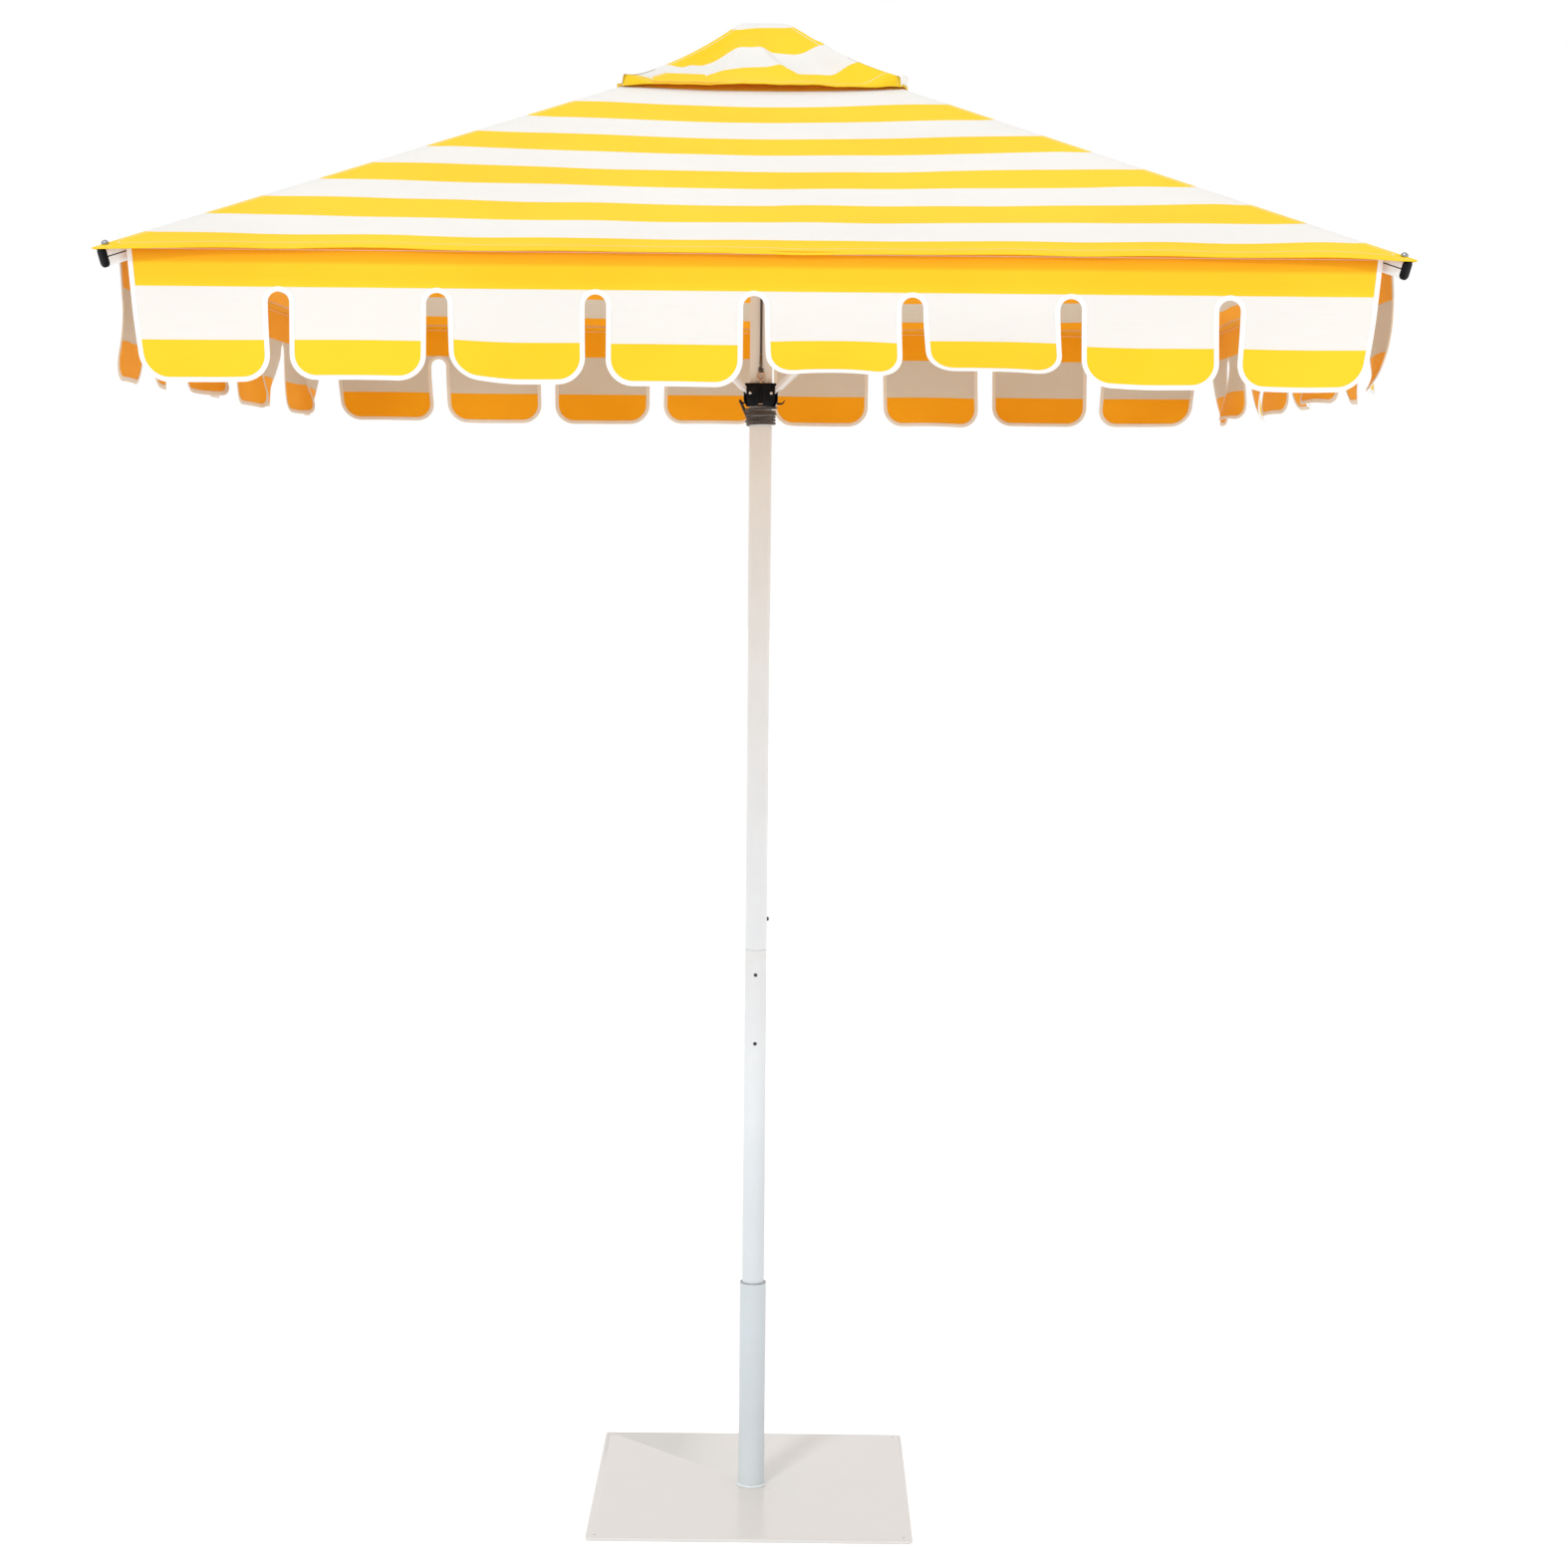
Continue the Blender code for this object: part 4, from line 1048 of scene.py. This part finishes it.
def make_binding(name, side, hand, seed, white, inside_tape_shaded):
    """Tape folded over the free edge: a flat tube that follows it."""
    half = 0.0011
    section = [(-0.0006, 0.0), (-0.0004, -half * 0.8), (0.001, -half), (BINDING, -half),
               (BINDING + 0.0002, 0.0), (BINDING, half), (0.001, half), (-0.0004, half * 0.8)]
    bm = bmesh.new()
    layer = bm.loops.layers.uv.new("stripe")
    rings, runs, run = [], [], 0.0
    path = edge_path()
    for k, (s, z, ns, nz) in enumerate(path):
        if k:
            run += hypot(s - path[k - 1][0], z - path[k - 1][1])
        runs.append(run)
        ring = []
        for inward, out in section:
            x, y, up = valance_place(side, hand, s + ns * inward, z + nz * inward, seed)
            ring.append(bm.verts.new((x, y - out, up)))
        rings.append(ring)
    for face, spots in quads(bm, rings, len(section)):
        for loop, (a, b) in zip(face.loops, spots):
            loop[layer].uv = (runs[a], section[b % len(section)][0])
    for ring in (rings[0], rings[-1]):
        bm.faces.new(ring)
    bmesh.ops.recalc_face_normals(bm, faces=bm.faces)
    # Faces looking inwards take the tan tape: painted shade and light through the canopy on the white
    # binding's inner side.
    for face in bm.faces:
        face.material_index = int(face.normal.y > 0.2)
    made = piece(name, bm, white, 50.0)
    made.data.materials.append(inside_tape_shaded)
    return made


def make_valance(cloth, inside_painted_light, white, inside_tape_shaded):
    for number, side, turn, hand, corner, tag in halves():
        seed = number * 3.7 + (11.3 if hand > 0 else 4.1)
        strip, area = make_strip(f"valance_{tag}", side, hand, seed, cloth, inside_painted_light)
        binding = make_binding(f"binding_{tag}", side, hand, seed, white, inside_tape_shaded)
        axis = about_z(turn) @ Vector((hand, 0.0, 0.0))
        anchor = about_z(turn) @ Vector((hand * 0.975, -VALANCE_AT, VALANCE_TOP))
        for made in (strip, binding):
            made.data.transform(about_z(turn))
            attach(made, f"valance_{corner}")
            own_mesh(made)
        letter = "a" if hand > 0 else "b"
        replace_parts(strip, f"valance_{corner}_{letter}")


# ---------------------------------------------------------------- rope and runner
def smooth_route(points, spacing):
    points = [Vector(p) for p in points]
    padded = [2 * points[0] - points[1]] + points + [2 * points[-1] - points[-2]]
    dense = []
    for p0, p1, p2, p3 in zip(padded, padded[1:], padded[2:], padded[3:]):
        for k in range(40):
            t = k / 40
            dense.append(0.5 * (2 * p1 + (p2 - p0) * t + (2 * p0 - 5 * p1 + 4 * p2 - p3) * t * t
                                + (3 * p1 - p0 - 3 * p2 + p3) * t ** 3))
    dense.append(points[-1])
    length = sum((b - a).length for a, b in zip(dense, dense[1:]))
    count = max(2, ceil(length / spacing))
    kept, walked, target = [dense[0]], 0.0, length / count
    for a, b in zip(dense, dense[1:]):
        walked += (b - a).length
        if walked >= target * len(kept) - 1e-6 and len(kept) < count:
            kept.append(b)
    return kept + [dense[-1]]


def tube(name, path, radius, material, sides=16):
    """A round rope along a path of points, with (turns round, metres along) on its stripe map."""
    bm = bmesh.new()
    layer = bm.loops.layers.uv.new("stripe")
    rings, runs, run = [], [], 0.0
    normal = Vector((1.0, 0.0, 0.0))
    for k, point in enumerate(path):
        ahead = path[min(k + 1, len(path) - 1)] - path[max(k - 1, 0)]
        tangent = ahead.normalized()
        normal = (normal - tangent * normal.dot(tangent)).normalized()
        other = tangent.cross(normal)
        if k:
            run += (point - path[k - 1]).length
        runs.append(run)
        angles = [2 * pi * j / sides for j in range(sides)]
        rings.append([bm.verts.new(point + (normal * cos(a) + other * sin(a)) * radius) for a in angles])
    for face, spots in quads(bm, rings, sides, ((0, 0), (0, 1), (1, 1), (1, 0))):
        for loop, (a, b) in zip(face.loops, spots):
            loop[layer].uv = (b / sides, runs[a])
    for ring in (rings[0], rings[-1]):
        bm.faces.new(ring)
    return piece(name, bm, material, 50.0), run


ROPE_FRONT = -0.0268
OVER_PULLEY = 0.0245
PULLEY_Z = 2.655
LIFT_ROUTE = [(0, ROPE_FRONT, 2.1703), (0, ROPE_FRONT, 2.30), (0, -0.0260, 2.45), (0, -OVER_PULLEY, 2.60),
              (0, -OVER_PULLEY, 2.648)]
RETURN_ARC = [(0, -OVER_PULLEY * cos(radians(a)), PULLEY_Z + OVER_PULLEY * sin(radians(a)))
              for a in range(0, 196, 15)]
RETURN_ROUTE = RETURN_ARC + [(0, 0.0250, 2.56), (0, 0.0275, 2.40), (0, 0.0325, 2.22), (0, 0.0355, 2.13),
                             (0, 0.0358, 2.078), (0, 0.0338, 2.064), (0, 0.0316, 2.052)]


def make_rope(cord):
    low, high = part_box("rope_wrap")
    lift_path = smooth_route(LIFT_ROUTE, 0.004)
    lift, length = tube("rope_up", lift_path, ROPE_RADIUS, cord)
    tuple(LIFT_ROUTE[-1])
    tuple(LIFT_ROUTE[0])
    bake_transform(lift)
    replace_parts(lift, "rope_lift")
    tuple(lift_path[-1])
    back_path = smooth_route(RETURN_ROUTE, 0.004)
    back, length = tube("rope_down", back_path, ROPE_RADIUS, cord)
    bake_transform(back)
    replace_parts(back, "rope_return")
    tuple(back_path[0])
    turns, thick = 6.0, 0.0025
    drop = high.z - low.z - 2 * thick
    path = []
    for k in range(int(turns * 60)):
        a = 2 * pi * k / 60
        share = k / (turns * 60)
        step = (int(share * turns) + ease((share * turns) % 1.0)) / turns
        z = high.z - thick + 0.0012 - drop * (0.55 * share + 0.45 * step)
        radius = 0.0218 + thick + 0.0010 + 0.0018 * (1.0 - share) + 0.0010 * sin(a * 0.43 + 1.0)
        slack = 0.0007 * sin(a * 1.31) + 0.0005 * sin(a * 0.57)
        path.append(Vector((radius * sin(a), radius * cos(a), z + slack)))
    wrap, length = tube("rope_turns", path, thick, cord)
    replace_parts(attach(wrap, "runner"), "rope_wrap")
    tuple(path[0])
    loop = [(-0.0270, -0.0060, 2.0580), (-0.0300, -0.0050, 2.0640), (-0.0345, -0.0035, 2.0740),
            (-0.0385, 0.0, 2.0850), (-0.0368, 0.0045, 2.0840), (-0.0325, 0.0060, 2.0740),
            (-0.0285, 0.0065, 2.0660)]
    made = tube("rope_loop", smooth_route(loop, 0.0015), 0.0019, cord)[0]
    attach(made, "runner")


def block_outline(half, radius, groove):
    """A rounded square with a shallow upright groove in the middle of each side."""
    outline = []
    for turn in range(4):
        side = arc((half - radius, half - radius), radius, 0, 90, 8)
        side += [(0.0036, half), (0.0020, half - groove), (-0.0020, half - groove), (-0.0036, half)]
        for x, y in side:
            a = turn * pi / 2
            outline.append((x * cos(a) - y * sin(a), x * sin(a) + y * cos(a)))
    return outline


def make_runner(dark, steel, copper, bronze, cord):
    """Square-shouldered block with a slot over each strut, a waist for the rope and a cleat on each side."""
    bottom, top, half = 2.0745, 2.1170, 0.0318
    loops = []
    for z, shrink in ((bottom, 0.0050), (bottom + 0.0040, 0.0032), (bottom + 0.0090, 0.0004),
                      (bottom + 0.0115, 0.0), (top - 0.0030, 0.0), (top - 0.0012, 0.0004),
                      (top - 0.0003, 0.0013), (top, 0.0026)):
        loops.append([(x, y, z) for x, y in block_outline(half - shrink, 0.0085 - shrink * 0.5, 0.0022)])
    hub = piece("runner_body", lofted(loops), dark, 30.0)
    slots = [turned([(0.0222, 2.0), (0.0222, 2.2)], 96)]
    for angle in CORNERS.values():
        slot = [(0.0248, 2.05), (0.06, 2.05), (0.06, 2.15), (0.0248, 2.15)]
        slots.append(moved(outline_block(slot, -0.0033, 0.0033), about_z(angle)))
    cut_from(hub, slots)
    bevelled(hub, 0.0004, 2, 40.0)
    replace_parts(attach(hub, "runner"), "runner_hub")
    make_cleats(dark)
    head = [(0.0, -0.003), (0.0028, -0.003), (0.0028, 0.0), (0.0025, 0.0009), (0.0016, 0.0014), (0.0, 0.0016)]
    upright = Matrix.Rotation(pi / 2, 4, "X")
    for quarter in range(4):
        for x, letter in ((-0.0196, "a"), (0.0196, "b")):
            seat = about_z(90.0 * quarter) @ Matrix.Translation((x, -half, 2.0985)) @ upright
            rivet = piece(f"runner_rivet_{quarter}_{letter}", moved(turned(head, 24), seat), steel)
            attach(rivet, "runner")
    staple = [Vector((x, -half + y, z)) for x, y, z in ((-0.004, 0.002, 2.079), (-0.0035, -0.0012, 2.0785),
                                                        (0.0, -0.002, 2.0782), (0.0035, -0.0012, 2.0785),
                                                        (0.004, 0.002, 2.079))]
    keeper = tube("rope_keeper", smooth_route(staple, 0.0008), 0.0009, copper)[0]
    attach(keeper, "runner")
    make_hook(copper, bronze, cord)


def make_cleats(dark):
    """A short flat horn on the left and a longer one, turned up at its end, on the right."""
    left = [(-0.030, 2.0795), (-0.0375, 2.0792), (-0.0400, 2.0822), (-0.0412, 2.0845), (-0.0402, 2.0856),
            (-0.0385, 2.0838), (-0.0370, 2.0822), (-0.030, 2.0825)]
    right = [(0.030, 2.0785), (0.0385, 2.0782), (0.0418, 2.0800), (0.0440, 2.0836), (0.0455, 2.0868),
             (0.0445, 2.0875), (0.0424, 2.0846), (0.0400, 2.0822), (0.0375, 2.0814), (0.030, 2.0822)]
    for name, outline in (("cleat_left", left), ("cleat_right", right)):
        cleat = piece(name, outline_block(outline, -0.0040, 0.0040), dark)
        bevelled(cleat, 0.0006, 2, 20.0)
        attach(cleat, "runner")


def make_hook(copper, bronze, cord):
    """The open hook on the runner, the knot in it and the ferrule above the knot."""
    path = [(0.0, 2.1168), (0.0, 2.1215), (0.0040, 2.1235), (0.0062, 2.1285), (0.0045, 2.1335), (0.0, 2.1355),
            (-0.0042, 2.1335), (-0.0060, 2.1290), (-0.0045, 2.1245), (-0.0015, 2.1222)]
    route = smooth_route([(x, ROPE_FRONT - 0.001 * k / 9, z) for k, (x, z) in enumerate(path)], 0.0008)
    hook = tube("rope_hook", route, 0.0022, copper)[0]
    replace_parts(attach(hook, "runner"), "rope_eye")
    knot = [(0.0, ROPE_FRONT, 2.1358)]
    for k in range(26):
        a = k / 25 * 2 * pi * 1.6
        knot.append((0.0030 * cos(a), ROPE_FRONT - 0.0005 + 0.0026 * sin(a), 2.1380 + 0.0060 * k / 25))
    knot.append((0.0, ROPE_FRONT, 2.1465))
    made = tube("rope_knot", smooth_route(knot, 0.0010), 0.0023, cord)[0]
    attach(made, "runner")
    profile = [(0.0, 2.1450), (0.0021, 2.1450), (0.0026, 2.1458), (0.0026, 2.1535), (0.0030, 2.1540),
               (0.0030, 2.1556), (0.0026, 2.1561), (0.0025, 2.1692), (0.0022, 2.1700), (0.0, 2.1700)]
    ferrule = moved(turned(profile, 32), Matrix.Translation((0, ROPE_FRONT, 0)))
    swivel = piece("rope_ferrule", ferrule, bronze)
    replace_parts(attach(swivel, "runner"), "rope_swivel")


# ---------------------------------------------------------------- everything
def finish_hardware(dark, steel, screws):
    for node, body, made, slot in (
            ("crown_hub", "upper_pole", dark, "black_plastic"),
            ("top_disc", "upper_pole", dark, "black_plastic"),
            ("top_screw", "upper_pole", steel, "steel"),
            ("pulley_wheel", "pulley", dark, "black_plastic"),
            ("pulley_axle", "upper_pole", steel, "steel"),
            ("snap_button", "snap_button", dark, "black_plastic"),
            ("button_spring", "upper_pole", steel, "steel"),
            ("pole_foot_plug", "lower_pole", dark, "black_plastic"),
            ("pole_spigot", "lower_pole", steel, "steel"),
            ("spigot_screw_lower", "lower_pole", screws, "steel"),
            ("spigot_screw_upper", "lower_pole", screws, "steel")):
        refined(node, body, made, 0.0002, slot=slot)


def build():
    bpy.context.scene.view_settings.view_transform = "Standard"
    make_camera()
    make_stage()
    plate_white = coated("plate_coat", (0.605, 0.597, 0.583), 0.28, 0.0, 0.4, 0.01, 0.0)
    # The stand tube: painted light and shade, lighter at its foot and darker from 0.15 m up.
    tube_grey = painted_height_light(coated("tube_coat", (0.66, 0.72, 0.74), 0.38, 0.2), 0.01, 0.15, (0.79, 0.80, 0.825))
    pole_white = coated("pole_coat", (0.72, 0.745, 0.765), 0.34, 0.15, 0.1)
    rib_white = coated("rib_coat", (0.76, 0.76, 0.75), 0.38, 0.15)
    strut_white = coated("strut_coat", (0.70, 0.67, 0.63), 0.42, 0.15)
    dark = moulded("black_moulding", (0.003, 0.003, 0.0035), 0.38)
    chrome = metal("chrome_dome", (0.38, 0.38, 0.39), 0.16)
    steel = metal("plated_steel", (0.62, 0.61, 0.60), 0.30)
    copper = metal("copper_fitting", (0.60, 0.42, 0.28), 0.34)
    cloth = canvas("striped_canvas", (YELLOW, YELLOW_DEEP), WHITE, THROUGH)
    hanging = canvas("striped_valance_painted_shadow", (YELLOW, YELLOW_DEEP), WHITE, THROUGH, True)
    # The underside's cloth: painted light, its stripes coloured as they look lit through from above and in
    # shade.
    inside_painted_light = canvas("striped_canvas_inside_painted_light", (PAINTED_BACKLIT_YELLOW, PAINTED_BACKLIT_YELLOW_DEEP), PAINTED_BACKLIT_WHITE, THROUGH_INSIDE)
    white_tape = tape("white_tape", (0.97, 0.965, 0.955), (0.93, 0.925, 0.915))
    # The binding's inner side: the white tape painted tan, standing for shade and light through the canopy.
    painted_shade_tape = tape("tape_inside_painted_shade", (0.84, 0.74, 0.60), (0.80, 0.70, 0.56))
    cord = braid("rope_braid", (0.005, 0.0035, 0.003), (0.080, 0.058, 0.042))
    make_base(plate_white, tube_grey, moulded("grey_moulding", (0.26, 0.27, 0.275), 0.4))
    # The lower pole: a lighter copy of the pole coat, with painted shade darkening it from 1.05 m down to 0.55
    # m and below.
    lower_white = coated("lower_pole_coat", (0.745, 0.77, 0.79), 0.34, 0.15, 0.1)
    painted_height_light(lower_white, 1.05, 0.55, (0.77, 0.81, 0.83))
    # The upper pole: painted warm light, from light coming through the yellow canopy, growing from 1.25 m up
    # to 2.15 m.
    make_poles({"lower_pole": lower_white, "upper_pole": painted_height_light(pole_white, 1.25, 2.15, (1.0, 0.95, 0.86))})
    make_ribs(rib_white, dark, chrome, strut_white)
    make_canopy(cloth, inside_painted_light)
    make_vent(cloth, inside_painted_light)
    make_vent_ties(white_tape)
    make_valance(hanging, inside_painted_light, white_tape, painted_shade_tape)
    make_rope(cord)
    make_runner(dark, steel, copper, metal("dull_bronze", (0.16, 0.11, 0.075), 0.42), cord)
    finish_hardware(dark, steel, metal("screw_black", (0.07, 0.07, 0.075), 0.3))


build()
